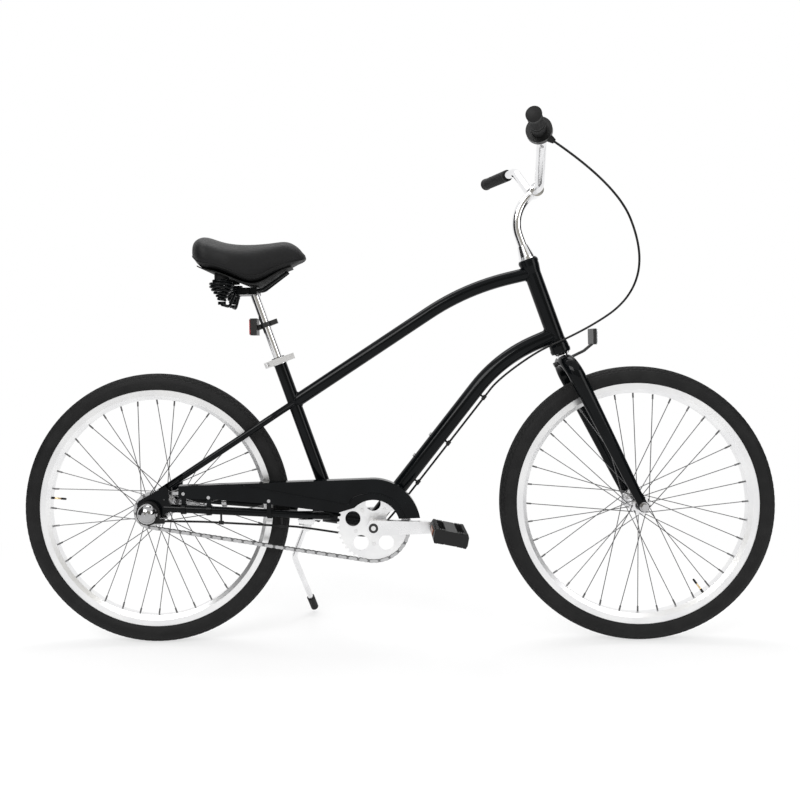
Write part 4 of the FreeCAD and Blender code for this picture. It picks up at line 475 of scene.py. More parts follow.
# spoke steel painted near black: painted shade for the dark that the spokes reflect
spoke_steel_painted_shade = bright_metal("spoke_steel_painted_shade", 0.14, 0.2, 0.3, 1500.0, (1.0, 1.0, 1.0))
front_rim_alloy = turned_metal("front_rim_alloy", 0.87, AXLE_X, AXLE_Z, 2600.0)
rear_rim_alloy = turned_metal("rear_rim_alloy", 0.87, -AXLE_X, AXLE_Z, 2600.0)
crank_alloy = turned_metal("ring_alloy", 0.9, CRANK_X, CRANK_Z, 1800.0)
brass = bright_metal("valve_brass", 0.8, 0.2, 0.3, 900.0, (1.0, 1.0, 1.0), (1.0, 0.75, 0.4))
print("bright metals", 10)

# %% [markdown]
# The black parts are few materials. Tyre rubber is dull and dusty in patches, grip
# rubber is finer, moulded plastic has a spark-eroded grain, black steel is enamelled, and
# the saddle's vinyl has an embossed leather grain made of small cells. The saddle's base
# is the plainest plastic: nobody sees it, so nobody polished its mould.


# %% Rubber, plastic and vinyl
def dull_rubber(name, shade, grain, rough):
    """Rubber: a fine grain, and grey bloom where it is dusty."""
    material, start = finish(name, {"Specular IOR Level": 0.18})
    place = object_place(start)
    bloom = noise(start, place, 30.0, 5.0).clip(0.35, 0.75)
    speck = noise(start, place, grain, 2.0)
    feed(material, Base_Color=bloom.colour(tinted(shade, (1.0, 1.0, 1.02)), tinted(1.7 * shade)),
         Roughness=rough + 0.14 * bloom,
         Normal=relief(start, speck, 0.16, 0.0005))
    return material


def moulded_plastic(name, shade, rough):
    """Plastic from a spark-eroded mould: rounded grains about half a millimetre across."""
    material, start = finish(name, {"Specular IOR Level": 0.2})
    place = object_place(start)
    grain = start.node("TexVoronoi", {"feature": "SMOOTH_F1"}, {"Vector": place, "Scale": 2200.0})
    handling = noise(start, place, 40.0).clip(0.35, 0.7)
    feed(material, Base_Color=handling.colour(tinted(shade), tinted(shade, (1.4, 1.4, 1.45))),
         Roughness=rough + 0.1 * handling,
         Normal=relief(start, grain, 0.12, 0.0004))
    return material


tyre_rubber = dull_rubber("tyre_rubber", 0.0075, 1600.0, 0.6)
grip_rubber = dull_rubber("grip_rubber", 0.0085, 2600.0, 0.5)
black_plastic = moulded_plastic("black_plastic", 0.0065, 0.36)
black_steel = black_enamel("black_steel", 0.26, 700.0)
cable_cover = moulded_plastic("cable_cover", 0.005, 0.3)
base_plastic = moulded_plastic("base_plastic", 0.004, 0.62)
print("black finishes", 6)


# %% Saddle vinyl
def grained_vinyl(name):
    """Embossed vinyl: leather cells about 1.2 mm across with painted shade in their valleys, soft creases, a
    shine where it is sat on.
    """
    material, start = finish(name, {"Specular IOR Level": 0.2})
    place = object_place(start)
    cells = start.node("TexVoronoi", {"feature": "DISTANCE_TO_EDGE"}, {"Vector": place, "Scale": 820.0})
    valley_depth_and_shade = cells.clip(0.0, 0.18)
    crease = noise(start, place, 55.0, 4.0)
    worn = axis_of(start, place, "Z").clip(0.93, 0.985)
    # painted shade: the valleys between the leather cells are coloured darker
    feed(material, Base_Color=valley_depth_and_shade.colour(rgb(0.004, 0.004, 0.0043), rgb(0.0085, 0.0086, 0.009)),
         Roughness=0.5 - 0.1 * worn + 0.06 * crease,
         Normal=relief(start, valley_depth_and_shade * 0.5 + crease * 0.9, 0.2, 0.0007))
    return material


vinyl = grained_vinyl("saddle_vinyl")
print("vinyl ready")


# %% [markdown]
# A reflector lens is a plate of small prisms. Their facets are too fine to model, so a
# cell pattern tilts the surface, and the colour is painted brighter in the middle of each
# cell than at its edge, a painted glint on every prism. The same node holds the housing,
# so the coordinate across the lens chooses between them.


# %% Reflectors with their housings
def lens_and_housing(name, letter, edge, above_edge, deep, bright):
    """Housing plastic on one side of a plane, prism lens beyond it."""
    material, start = finish(name, {"IOR": 1.5})
    place = object_place(start)
    along = axis_of(start, place, letter)
    lens_part = (along > edge) if above_edge else (along < edge)
    prism = start.node("TexVoronoi", {"feature": "F1"}, {"Vector": place, "Scale": 330.0})
    facet_tilt_and_glint = prism.clip(0.1, 0.6)
    # painted glint: each prism cell is brighter in its middle than at its edge
    colour = facet_tilt_and_glint.colour(bright, deep)
    grain = noise(start, place, 1800.0)
    feed(material, Base_Color=lens_part.colour(rgb(0.006, 0.006, 0.0062), colour),
         Roughness=lens_part * -0.24 + 0.38,
         Normal=relief(start, grain * 0.2 + lens_part * facet_tilt_and_glint, 0.25, 0.0008))
    return material


TAIL_LENS_X, FRONT_LENS_X = -0.34205, 0.48905
red_lens = lens_and_housing("tail_lens", "X", TAIL_LENS_X, False,
                            rgb(0.22, 0.004, 0.006), rgb(0.75, 0.03, 0.04))
clear_lens = lens_and_housing("front_lens", "X", FRONT_LENS_X, True,
                              rgb(0.32, 0.33, 0.34), rgb(0.85, 0.86, 0.88))


LENS_FROM_EYE = 0.03805


def pedal_plastic(name, centre_x):
    """Pedal plastic, with an amber lens on the front and the rear rail of the tilted platform, painted
    brighter in the middle of each prism cell as a painted glint.
    """
    material, start = finish(name, {"Specular IOR Level": 0.25})
    place = object_place(start)
    forward = (axis_of(start, place, "X") - centre_x) * math.cos(PEDAL_TILT)
    downward = (axis_of(start, place, "Z") - CRANK_Z) * math.sin(PEDAL_TILT)
    beyond = abs(forward - downward) > LENS_FROM_EYE
    prism = start.node("TexVoronoi", {"feature": "F1"}, {"Vector": place, "Scale": 360.0}).clip(0.1, 0.6)
    grain = noise(start, place, 1500.0)
    # painted glint: the amber is brighter in the middle of each prism cell
    amber = prism.colour(rgb(0.3, 0.085, 0.008), rgb(0.13, 0.026, 0.002))
    feed(material, Base_Color=beyond.colour(rgb(0.0075, 0.0075, 0.0078), amber),
         Roughness=beyond * -0.26 + 0.46,
         Normal=relief(start, grain * 0.4 + beyond * prism, 0.25, 0.0008))
    return material


pedal_right_plastic = pedal_plastic("pedal_right_plastic", PEDAL_RIGHT_X)
pedal_left_plastic = pedal_plastic("pedal_left_plastic", PEDAL_LEFT_X)
print("lens finishes", 4)


# %% [markdown]
# The crank bolts sit in the arms under a black ring with a bright head, as the photograph
# shows. One node holds the bolts and the rings, so the distance from the crank's axis picks
# the finish.


# %% Two-tone fasteners
def ringed_bolt(name):
    """Bright bolt heads with a dark ring, by the distance from the crank's axis."""
    material, start = finish(name, {"Metallic": 1.0})
    place = object_place(start)
    far = from_axle(start, place, CRANK_X, CRANK_Z)[0]
    ring = far.clip(0.0052, 0.0058) * (1.0 - far.clip(0.0128, 0.0132))
    smear = noise(start, place, 60.0)
    feed(material, Base_Color=ring.colour(rgb(0.78, 0.78, 0.78), rgb(0.012, 0.012, 0.012)),
         Metallic=1.0 - ring, Roughness=0.2 + 0.15 * smear + 0.15 * ring,
         Normal=relief(start, noise(start, place, 900.0), 0.04))
    return material


crank_bolts = ringed_bolt("crank_bolts")
print("two-tone fasteners ready")

# %% [markdown]
# Now every CAD node that stays gets its finish. The lists follow the photograph: black
# paint on all tubes and the fork, chrome on what the rider touches, silver running gear.

# %% Give the CAD nodes their finishes
FINISHES = {
    frame_paint: ["head_tube", "bottom_bracket_shell", "seat_tube", "top_tube", "down_tube", "rear_dropouts",
                  "chainstays", "seatstays", "fork_blades", "headset_cups"],
    guard_paint: ["chain_guard"],
    chrome: ["stem", "handlebar", "seat_post", "headset_locknut", "fork_steerer"],
    cap_chrome_painted_shade: ["shift_cap"],
    polished_alloy: ["front_hub_shell", "rear_hub_shell", "crank_arm_right", "crank_arm_left", "seat_collar",
                     "collar_lever", "kickstand_leg", "kickstand_bracket"],
    front_rim_alloy: ["front_rim"],
    rear_rim_alloy: ["rear_rim"],
    crank_alloy: ["chainring"],
    spoke_steel_painted_shade: ["front_spokes", "rear_spokes"],
    drawn_steel: ["front_axle", "rear_axle", "rear_sprocket", "crank_spindle",
                  "pedal_spindles", "bottom_bracket_cups", "brake_arm", "frame_screws"],
    chain_steel_painted_shade: ["chain"],
    crank_bolts: ["crankset_bolts"],
    tyre_rubber: ["front_tyre", "rear_tyre"],
    grip_rubber: ["grips", "twist_ring", "kickstand_foot"],
    black_plastic: ["shift_unit", "shifter_body", "cable_guides"],
    base_plastic: ["saddle_base"],
    black_steel: ["saddle_frame", "saddle_clamp", "saddle_springs", "guard_brackets"],
    cable_cover: ["shift_cable_loop", "shift_cable_frame"],
    vinyl: ["saddle_cover"],
    red_lens: ["tail_reflector"],
    clear_lens: ["front_reflector"],
    pedal_right_plastic: ["pedal_right"],
    pedal_left_plastic: ["pedal_left"],
}
for material, names in FINISHES.items():
    for name in names:
        nodes[name].data.materials.clear()
        nodes[name].data.materials.append(material)
print("finished nodes", sum(len(names) for names in FINISHES.values()), "of", len(nodes))

# %% [markdown]
# ## Tyres
# A cruiser tyre is fat and round, with a low tread for the street. CAD shows a smooth
# ring. Here the skin is one surface over two angles: one round the wheel and one round
# the section. Grooves and slanted cuts are taken off the section's radius, so the tread
# is real relief and the outside diameter stays as measured.

# %% Tyre skin
TYRE_MIDDLE, TYRE_SECTION = 0.303, 0.0235
BEAD_RADIUS, BEAD_FOOT, BEAD_FLAT = 0.287, 0.2775, 0.0122
CUTS_ROUND, CUT_DEEP, SHOULDER_DEEP, RIB_DEEP = 120.0, 0.0015, 0.0006, 0.0004


def smooth_step(low, high, value):
    """0 below low, 1 above high, with a flat start and end between."""
    share = np.clip((value - low) / (high - low), 0.0, 1.0)
    return share * share * (3.0 - 2.0 * share)


def tread_depth(turn, lean):
    """How deep the tread is cut at a turn of the wheel and a lean round the section: three
    grooves on either side of the middle, slanted cuts across them, a step at the shoulder
    and fine ribs on the sidewall."""
    degrees = np.degrees(np.abs(lean))
    crown = 1.0 - smooth_step(54.0, 62.0, degrees)
    groove = sum(np.exp(-((degrees - middle) / 2.4) ** 4) for middle in (11.0, 31.0, 49.0))
    phase = (turn * CUTS_ROUND / (2.0 * np.pi) + degrees * 0.035 * np.sign(lean)) % 1.0
    cut = smooth_step(0.0, 0.1, phase) * (1.0 - smooth_step(0.24, 0.34, phase))
    cut = cut * smooth_step(12.0, 15.0, degrees)
    shoulder = smooth_step(60.0, 66.0, degrees) * (1.0 - smooth_step(66.0, 72.0, degrees))
    ribs = smooth_step(74.0, 78.0, degrees) * (1.0 - smooth_step(92.0, 96.0, degrees))
    fine = 0.5 + 0.5 * np.cos(degrees * 2.0 * np.pi / 4.5)
    return (CUT_DEEP * np.clip(groove + 0.8 * cut, 0.0, 1.0) * crown
            + SHOULDER_DEEP * shoulder + RIB_DEEP * ribs * fine)


def tyre_points(centre_x, rounds=960, steps=76):
    """The section is an arc from bead to bead, less the tread's depth, closed by the bead's
    square foot in the rim; every point of it turns round the axle."""
    limit = np.arccos((BEAD_RADIUS - TYRE_MIDDLE) / TYRE_SECTION)
    lean = np.linspace(-limit, limit, steps)
    turn = np.arange(rounds) * 2.0 * np.pi / rounds
    turn_grid, lean_grid = np.meshgrid(turn, lean, indexing="ij")
    radius = TYRE_SECTION - tread_depth(turn_grid, lean_grid)
    far = TYRE_MIDDLE + radius * np.cos(lean_grid)
    side = radius * np.sin(lean_grid)
    foot = np.array([(BEAD_RADIUS, BEAD_FLAT), (BEAD_FOOT, BEAD_FLAT), (BEAD_FOOT, -BEAD_FLAT),
                     (BEAD_RADIUS, -BEAD_FLAT)])
    far = np.hstack([far, np.tile(foot[:, 0], (rounds, 1))])
    side = np.hstack([side, np.tile(foot[:, 1], (rounds, 1))])
    spin = turn[:, None]
    return np.stack([centre_x + far * np.cos(spin), side, AXLE_Z + far * np.sin(spin)], axis=-1)


for name, centre_x, body in (("front_tread", AXLE_X, "front_wheel"), ("rear_tread", -AXLE_X, "rear_wheel")):
    skin = tyre_points(centre_x)
    tyre = put_mesh(name, skin, grid_faces(*skin.shape[:2], True, True), tyre_rubber, body)
    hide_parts(name.replace("tread", "tyre"))
    print(name, "points", skin.shape[:2], "radius", round(float(skin[..., 2].max() - AXLE_Z), 4))

# %% [markdown]
# The valve points from the rim to the hub: a rubber root, a threaded brass stem and a
# black cap. All three are one profile turned round one line, so one function serves for
# these and for the grips: a profile of distance and radius, carried round an axis.


# %% Turned pieces and the valves
def axis_frame(axis):
    """Two unit vectors square to an axis and to each other."""
    axis = np.asarray(axis, float) / np.linalg.norm(axis)
    first = np.cross(axis, (0.0, 1.0, 0.0) if abs(axis[1]) < 0.9 else (1.0, 0.0, 0.0))
    first /= np.linalg.norm(first)
    return axis, first, np.cross(axis, first)


def turned_points(origin, axis, profile, rounds, swell=None):
    """Each (along, radius) of the profile goes round the axis; swell adds to the radius, from the
    turn, the place along and the radius itself."""
    axis, first, second = axis_frame(axis)
    along, radius = np.asarray(profile, float).T
    turn = np.arange(rounds) * 2.0 * np.pi / rounds
    along_grid, turn_grid = np.meshgrid(along, turn, indexing="ij")
    radius_grid = np.repeat(radius[:, None], rounds, axis=1)
    if swell:
        radius_grid = radius_grid + swell(turn_grid, along_grid, radius_grid)
    return (np.asarray(origin, float) + along_grid[..., None] * axis
            + (radius_grid * np.cos(turn_grid))[..., None] * first
            + (radius_grid * np.sin(turn_grid))[..., None] * second)


VALVE = [(0.0, 0.0), (0.0, 0.003), (0.0045, 0.0029), (0.006, 0.0024), (0.0065, 0.0021), (0.022, 0.0021),
         (0.0225, 0.0027), (0.0335, 0.0025), (0.035, 0.0016), (0.035, 0.0)]
VALVE_ROOT, VALVE_SIDES = 0.2628, 16
for name, centre_x, degrees, body in (("front_valve", AXLE_X, -54.5, "front_wheel"),
                                      ("rear_valve", -AXLE_X, 174.8, "rear_wheel")):
    outward = np.array([math.cos(math.radians(degrees)), 0.0, math.sin(math.radians(degrees))])
    root = np.array([centre_x, 0.0, AXLE_Z]) + outward * VALVE_ROOT
    stem_points = turned_points(root, -outward, VALVE, VALVE_SIDES)
    valve = put_mesh(name, stem_points, grid_faces(len(VALVE), VALVE_SIDES, False, True), brass, body)
    valve.data.materials.append(black_plastic)
    rows = np.repeat(np.arange(len(VALVE) - 1), VALVE_SIDES)
    rubber = np.where((rows > 3) & (rows < 6), 0, 1).astype(np.int32)
    valve.data.polygons.foreach_set("material_index", rubber)
print("valves", 2)

# %% [markdown]
# ## Saddle
# The saddle is foam under stretched vinyl: wide and dished at the back, a long nose, and
# sides that draw in to a hem over the base. Stations along it give half width, top, hem
# height. A cubic spline joins them, a full curve rounds each section, and a short cloth
# run with the hem pinned lets the foam push the vinyl out, as the real cover is stretched.

# %% Saddle form
STATIONS = np.array([
    # x, half width, top, hem
    (-471.0, 74.0, 972.0, 929.0),
    (-455.0, 100.0, 980.5, 909.0),
    (-415.0, 111.0, 973.5, 895.0),
    (-370.0, 108.0, 963.5, 878.0),
    (-325.0, 84.0, 963.5, 866.5),
    (-280.0, 56.0, 968.0, 890.0),
    (-240.0, 41.0, 966.0, 909.0),
    (-213.0, 27.0, 946.0, 923.0),
]) * 0.001


TAIL_OUT, TAIL_IN, TAIL_REACH = 0.0045, 0.006, 0.0105
NOSE_OUT, NOSE_IN, NOSE_REACH = 0.0078, 0.012, 0.0198


def spline_through(knots, values, at):
    """A natural cubic spline: its second slopes solve one linear system, then each span is the
    straight line between its knots plus the cubic terms of those slopes."""
    step = np.diff(knots)
    count = len(knots)
    system = np.eye(count)
    inner = np.arange(1, count - 1)
    system[inner, inner - 1] = step[:-1]
    system[inner, inner] = 2.0 * (step[:-1] + step[1:])
    system[inner, inner + 1] = step[1:]
    slope = np.diff(values, axis=0) / step[:, None]
    wanted = np.zeros_like(values)
    wanted[1:-1] = 6.0 * np.diff(slope, axis=0)
    second = np.linalg.solve(system, wanted)
    span = np.clip(np.searchsorted(knots, at) - 1, 0, count - 2)
    width = step[span][:, None]
    low = (knots[span + 1] - at)[:, None] / width
    high = 1.0 - low
    return (low * values[span] + high * values[span + 1]
            + ((low ** 3 - low) * second[span] + (high ** 3 - high) * second[span + 1]) * width ** 2 / 6.0)


def saddle_points(rows=84, columns=72):
    """Along: the stations' spline, with a rounded end at the tail and the nose. Round: a full
    curve of power 2.4 above the widest line, sides drawn in below it, and a flat underside."""
    full = 2.0 / 2.4
    ease = np.linspace(0.0, 1.0, rows)
    tail_end, nose_end = STATIONS[0, 0] - TAIL_OUT, STATIONS[-1, 0] + NOSE_OUT
    x = tail_end + (nose_end - tail_end) * (0.35 * (0.5 - 0.5 * np.cos(np.pi * ease)) + 0.65 * ease)
    inside = np.clip(x, STATIONS[0, 0], STATIONS[-1, 0])
    half, top, hem = spline_through(STATIONS[:, 0], STATIONS[:, 1:], inside).T
    tail = np.clip((STATIONS[0, 0] + TAIL_IN - x) / TAIL_REACH, 0.0, 1.0)
    nose = np.clip((x - STATIONS[-1, 0] + NOSE_IN) / NOSE_REACH, 0.0, 1.0)
    shrink = np.sqrt(1.0 - np.maximum(tail, nose) ** 2)[:, None]
    wide = (hem + 0.5 * (top - 0.022 - hem))[:, None]
    half, top, hem = half[:, None], top[:, None], hem[:, None]
    turn = np.linspace(0.0, 2.0 * np.pi, columns, endpoint=False)[None, :]
    cosine, sine = np.cos(turn), np.sin(turn)
    upper_y = np.sign(cosine) * np.abs(cosine) ** full * half
    upper_z = wide + (top - wide) * np.abs(sine) ** full
    lower_y = np.sign(cosine) * np.abs(cosine) ** 0.32 * (half - 0.009 * sine ** 2)
    lower_z = wide - (wide - hem) * np.abs(sine) ** 0.75
    y = np.where(sine >= 0.0, upper_y, lower_y)
    z = np.where(sine >= 0.0, upper_z, lower_z)
    middle = wide + (top - wide) * 0.2 - (wide - hem) * 0.1
    along = np.repeat(x[:, None], columns, axis=1)
    return np.stack([along, y * shrink, middle + (z - middle) * shrink], axis=-1)


saddle_grid = saddle_points()
saddle = put_mesh("saddle_pad", saddle_grid, grid_faces(*saddle_grid.shape[:2], False, True), vinyl)
print("saddle", saddle_grid.shape[:2], "top", round(float(saddle_grid[..., 2].max()), 4))


# %% Let the foam push the vinyl out
def press_out(piece, held, pressure, most, frames):
    """Run a cloth with air pressure inside and the held points fixed, keep each point's move
    under the most allowed, and write the result back into the mesh."""
    rest = np.zeros(len(piece.data.vertices) * 3)
    piece.data.vertices.foreach_get("co", rest)
    group = piece.vertex_groups.new(name="hem")
    group.add(np.flatnonzero(held).tolist(), 1.0, "REPLACE")
    cloth = piece.modifiers.new("stretch", "CLOTH")
    cloth.settings.quality = 5
    cloth.settings.mass = 0.3
    cloth.settings.tension_stiffness = 30.0
    cloth.settings.compression_stiffness = 30.0
    cloth.settings.bending_stiffness = 4.0
    cloth.settings.use_pressure = True
    cloth.settings.uniform_pressure_force = pressure
    cloth.settings.effector_weights.gravity = 0.0
    cloth.settings.vertex_group_mass = "hem"
    cloth.point_cache.frame_end = frames
    for step in range(1, frames + 1):
        bpy.context.scene.frame_set(step)
    evaluated = piece.evaluated_get(bpy.context.evaluated_depsgraph_get())
    moved = np.zeros_like(rest)
    evaluated.data.vertices.foreach_get("co", moved)
    move = (moved - rest).reshape(-1, 3)
    length = np.linalg.norm(move, axis=1, keepdims=True)
    move *= np.minimum(1.0, most / np.maximum(length, 1e-9))
    piece.modifiers.remove(cloth)
    piece.vertex_groups.remove(group)
    piece.data.vertices.foreach_set("co", rest + move.ravel())
    piece.data.update()
    bpy.context.scene.frame_set(1)
    return float(length.max())


columns = saddle_grid.shape[1]
column = np.arange(len(saddle.data.vertices)) % columns
hem = column >= columns // 2
moved = press_out(saddle, hem, pressure=3.0, most=0.002, frames=14)
print("vinyl moved", round(moved, 4))
rounder = saddle.modifiers.new("rounder", "SUBSURF")
rounder.levels = 1
rounder.render_levels = 1
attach(saddle, "seat")
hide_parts("saddle_cover")

# %% [markdown]
# A welt of piping runs round the cover just above its hem, and shows as a thin light line
# under the nose in the photograph. It is a round cord carried along a line of the
# saddle's own surface, so it cannot leave the surface.


# %% Piping round the hem
def swept_points(path, radius, sides, closed=False, guide=(0.0, 1.0, 0.0)):
    """A circle carried along a path: at each point it stands square to the path's direction,
    with one side kept towards the guide."""
    path = np.asarray(path, float)
    if closed:
        way = np.roll(path, -1, axis=0) - np.roll(path, 1, axis=0)
    else:
        way = np.gradient(path, axis=0)
    way /= np.linalg.norm(way, axis=1, keepdims=True)
    first = np.cross(way, np.broadcast_to(np.asarray(guide, float), way.shape))
    first /= np.linalg.norm(first, axis=1, keepdims=True)
    second = np.cross(way, first)
    turn = np.arange(sides) * 2.0 * np.pi / sides
    radius = np.broadcast_to(np.asarray(radius, float), (len(path),))[:, None, None]
    ring = np.cos(turn)[None, :, None] * first[:, None, :] + np.sin(turn)[None, :, None] * second[:, None, :]
    return path[:, None, :] + radius * ring


def capped(points):
    """Draw the first and the last ring of a tube together, so that its ends are closed."""
    middle = points.mean(axis=1, keepdims=True)
    first = np.repeat(middle[:1], points.shape[1], axis=1)
    last = np.repeat(middle[-1:], points.shape[1], axis=1)
    return np.concatenate([first, points, last])


def put_tube(name, path, radius, sides, finish_of, body=None, guide=(0.0, 1.0, 0.0)):
    """A new piece: a round tube along a path, closed at both ends."""
    tube = capped(swept_points(path, radius, sides, False, guide))
    return put_mesh(name, tube, grid_faces(len(tube), sides, False, True), finish_of, body)


def line_length(path):
    """The lengths of a line's steps, added up."""
    return float(np.linalg.norm(np.diff(path, axis=0), axis=1).sum())


UPRIGHT = (0.0, 0.0, 1.0)
WELT_RADIUS, WELT_SIDES = 0.0016, 8
half_columns = saddle_grid.shape[1] // 2
near_line = saddle_grid[3:-3, half_columns + 6]
far_line = saddle_grid[3:-3, -6]
welt_path = np.concatenate([far_line, near_line[::-1]])
welt_path[:, 1] *= 1.004
welt = put_mesh("saddle_piping", swept_points(welt_path, WELT_RADIUS, WELT_SIDES, True, UPRIGHT),
                grid_faces(len(welt_path), WELT_SIDES, True, True), vinyl, "seat")
print("piping length", round(line_length(welt_path), 3))

# %% [markdown]
# ## Saddle springs
# Two springs of black wire carry the back of the saddle. Each is an even helix whose radius
# grows from the foot and is drawn in at the head. The wire's circle is carried along that
# line, and closed at both ends.

# %% Coil the springs
WIRE, TURNS, WIDEST = 0.0033, 6.5, 0.8
SPRING_X, SPRING_Y, SPRING_FOOT, SPRING_HEAD, SPRING_GAP = -0.4, 0.07, 0.822, 0.875, 0.0002
FOOT_RADIUS, FOOT_GROWS, WIDE_RADIUS, HEAD_DRAWN = 0.008, 0.019, 0.027, 0.008
share = np.linspace(0.0, 1.0, 451)
grown = 0.5 - 0.5 * np.cos(np.pi * share / WIDEST)
drawn = 0.5 - 0.5 * np.cos(np.pi * (share - WIDEST) / (1.0 - WIDEST))
swelling = np.where(share < WIDEST, FOOT_RADIUS + FOOT_GROWS * grown, WIDE_RADIUS - HEAD_DRAWN * drawn)
turn = 2.0 * np.pi * TURNS * share
climb = SPRING_HEAD - SPRING_FOOT - 2.0 * WIRE - 2.0 * SPRING_GAP
for name, side in (("spring_left", 1.0), ("spring_right", -1.0)):
    coil = np.stack([SPRING_X + swelling * np.cos(turn), side * (SPRING_Y + swelling * np.sin(turn)),
                     SPRING_FOOT + WIRE + SPRING_GAP + share * climb], axis=1)
    spring = put_tube(name, coil, WIRE, 12, black_steel, "seat", UPRIGHT)
    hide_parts("saddle_springs")
print("springs with", TURNS, "turns")

# %% [markdown]
# ## Chain
# A bicycle chain is two plates, a roller, two plates, and so on, one link every half inch.
# The roller centres lie in the tooth gaps of both wheels and evenly between them. One
# outer link and one inner link are worked out flat, then placed on all links at once. The
# outer plates and the pins are bright steel; the inner plates and the rollers get a darker
# copy of it, painted shade standing in for the outer plates' shadow.

# %% Chain path
CHAIN_Y, RING_TEETH, COG_TEETH = -0.045, 42, 20
SMALL, LARGE, PITCH = 0.04059, 0.08496, 0.0127
span = np.array([CRANK_X + AXLE_X, CRANK_Z - AXLE_Z])
rise = math.atan2(span[1], span[0])
lean = math.asin((LARGE - SMALL) / np.linalg.norm(span))
ring_wrap, cog_wrap = math.pi / 2 + lean, math.pi / 2 - lean
touch = {sign: np.array([math.cos(rise + sign * ring_wrap), math.sin(rise + sign * ring_wrap)])
         for sign in (1, -1)}
rear, front = np.array([-AXLE_X, AXLE_Z]), np.array([CRANK_X, CRANK_Z])


def seated(centre, teeth, radius, facing, reach):
    """Tooth gaps within reach of the side that the chain wraps, in the order in which it runs."""
    angle = np.arange(teeth) * 2.0 * np.pi / teeth
    off = (angle - facing + np.pi) % (2.0 * np.pi) - np.pi
    used = np.sort(off[np.abs(off) <= reach + 1e-9])[::-1]
    return centre + radius * np.stack([np.cos(facing + used), np.sin(facing + used)], axis=1), used


ring_seats, ring_off = seated(front, RING_TEETH, LARGE, rise, ring_wrap)
cog_seats, cog_off = seated(rear, COG_TEETH, SMALL, rise + math.pi, cog_wrap)


def free_run(sign, cog_arc, ring_arc):
    """Links between the last seat on one wheel and the first on the other, along the tangent."""
    low, high = rear + touch[sign] * SMALL, front + touch[sign] * LARGE
    run = np.linalg.norm(high - low)
    whole = cog_arc + run + ring_arc
    links = round(whole / PITCH)
    along = whole / links * np.arange(1, links) - cog_arc
    return low + along[:, None] * (high - low) / run


top_run = free_run(1, (cog_wrap + cog_off[-1]) * SMALL, (ring_wrap - ring_off[0]) * LARGE)
low_run = free_run(-1, (cog_wrap - cog_off[0]) * SMALL, (ring_wrap + ring_off[-1]) * LARGE)
pins = np.concatenate([top_run, ring_seats, low_run[::-1], cog_seats])
gaps = np.linalg.norm(np.roll(pins, -1, axis=0) - pins, axis=1)
print("links", len(pins), "pitch from", round(float(gaps.min()), 5), "to", round(float(gaps.max()), 5))


# %% Chain links
def link_plates(near, far, half_height, waist):
    """Two plates of one link: round ends and a narrow waist, as upper and lower edges with the
    same number of points, so that each face is a strip of quads."""
    end = np.radians([90.0, 45.0, 0.0])
    first = half_height * np.stack([-np.cos(end)[::-1], np.sin(end)[::-1]], axis=1)
    upper = np.concatenate([first, [(0.5 * PITCH, waist)], first[::-1] * [-1.0, 1.0] + [PITCH, 0.0]])
    lower = upper * [1.0, -1.0]
    count = len(upper)
    outline = np.concatenate([upper, lower])
    points, faces = [], []
    strip = np.arange(count - 1)
    for start_side, end_side in ((near, far), (-far, -near)):
        base = sum(len(p) for p in points)
        for side in (start_side, end_side):
            points.append(np.column_stack([outline[:, 0], np.full(2 * count, side), outline[:, 1]]))
        inner, outer = base, base + 2 * count
        cap = np.stack([strip, strip + 1, strip + 1 + count, strip + count], axis=1)
        faces += [cap + inner, cap[:, ::-1] + outer]
        top = np.stack([strip + inner, strip + outer, strip + 1 + outer, strip + 1 + inner], axis=1)
        faces += [top, (top + count)[:, ::-1]]
    return np.concatenate(points), np.concatenate(faces)


def round_pin(radius, low, high, sides):
    """A short round pin across the chain, its ends drawn together."""
    turn = np.arange(sides) * 2.0 * np.pi / sides
    ring = np.stack([radius * np.cos(turn), np.zeros(sides), radius * np.sin(turn)], axis=1)
    levels = [ring * 0 + [0, low, 0], ring + [0, low, 0], ring + [0, high, 0], ring * 0 + [0, high, 0]]
    return np.concatenate(levels), grid_faces(4, sides, False, True)


def placed(shape, at, ways):
    """One shape put at many places: its x goes along each way, its z square to it."""
    points, faces = shape
    square = np.stack([-ways[:, 1], ways[:, 0]], axis=1)
    x = at[:, None, 0] + points[None, :, 0] * ways[:, None, 0] + points[None, :, 2] * square[:, None, 0]
    z = at[:, None, 1] + points[None, :, 0] * ways[:, None, 1] + points[None, :, 2] * square[:, None, 1]
    y = np.broadcast_to(CHAIN_Y + points[None, :, 1], x.shape)
    moved = np.stack([x, y, z], axis=-1).reshape(-1, 3)
    shift = np.arange(len(at))[:, None, None] * len(points)
    return moved, (faces[None] + shift).reshape(-1, 4)


ways = (np.roll(pins, -1, axis=0) - pins) / gaps[:, None]
PLATE_HIGH, PLATE_WAIST = 0.004, 0.0031
ROLLER, PIN = (0.0037, -0.0025, 0.0025, 10), (0.0019, -0.0046, 0.0046, 8)
outer_link = link_plates(0.0035, 0.0043, PLATE_HIGH, PLATE_WAIST)
inner_link = link_plates(0.0026, 0.0034, PLATE_HIGH, PLATE_WAIST)
parts = [placed(outer_link, pins[0::2], ways[0::2]), placed(inner_link, pins[1::2], ways[1::2]),
         placed(round_pin(*ROLLER), pins, ways), placed(round_pin(*PIN), pins, ways)]
starts = np.cumsum([0] + [len(points) for points, faces in parts[:-1]])
chain_points = np.concatenate([points for points, faces in parts])
chain_faces = np.concatenate([faces + first for first, (points, faces) in zip(starts, parts)])
links = put_mesh("chain_links", chain_points, chain_faces, drawn_steel, "frame", smooth=False)
links.data.materials.append(chain_steel_painted_shade)
# painted shade: index 1 gives the inner plates and the rollers the darker steel
painted_shade_index = np.repeat([0, 1, 1, 0], [len(faces) for points, faces in parts]).astype(np.int32)
links.data.polygons.foreach_set("material_index", painted_shade_index)
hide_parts("chain")
print("chain faces", len(chain_faces))

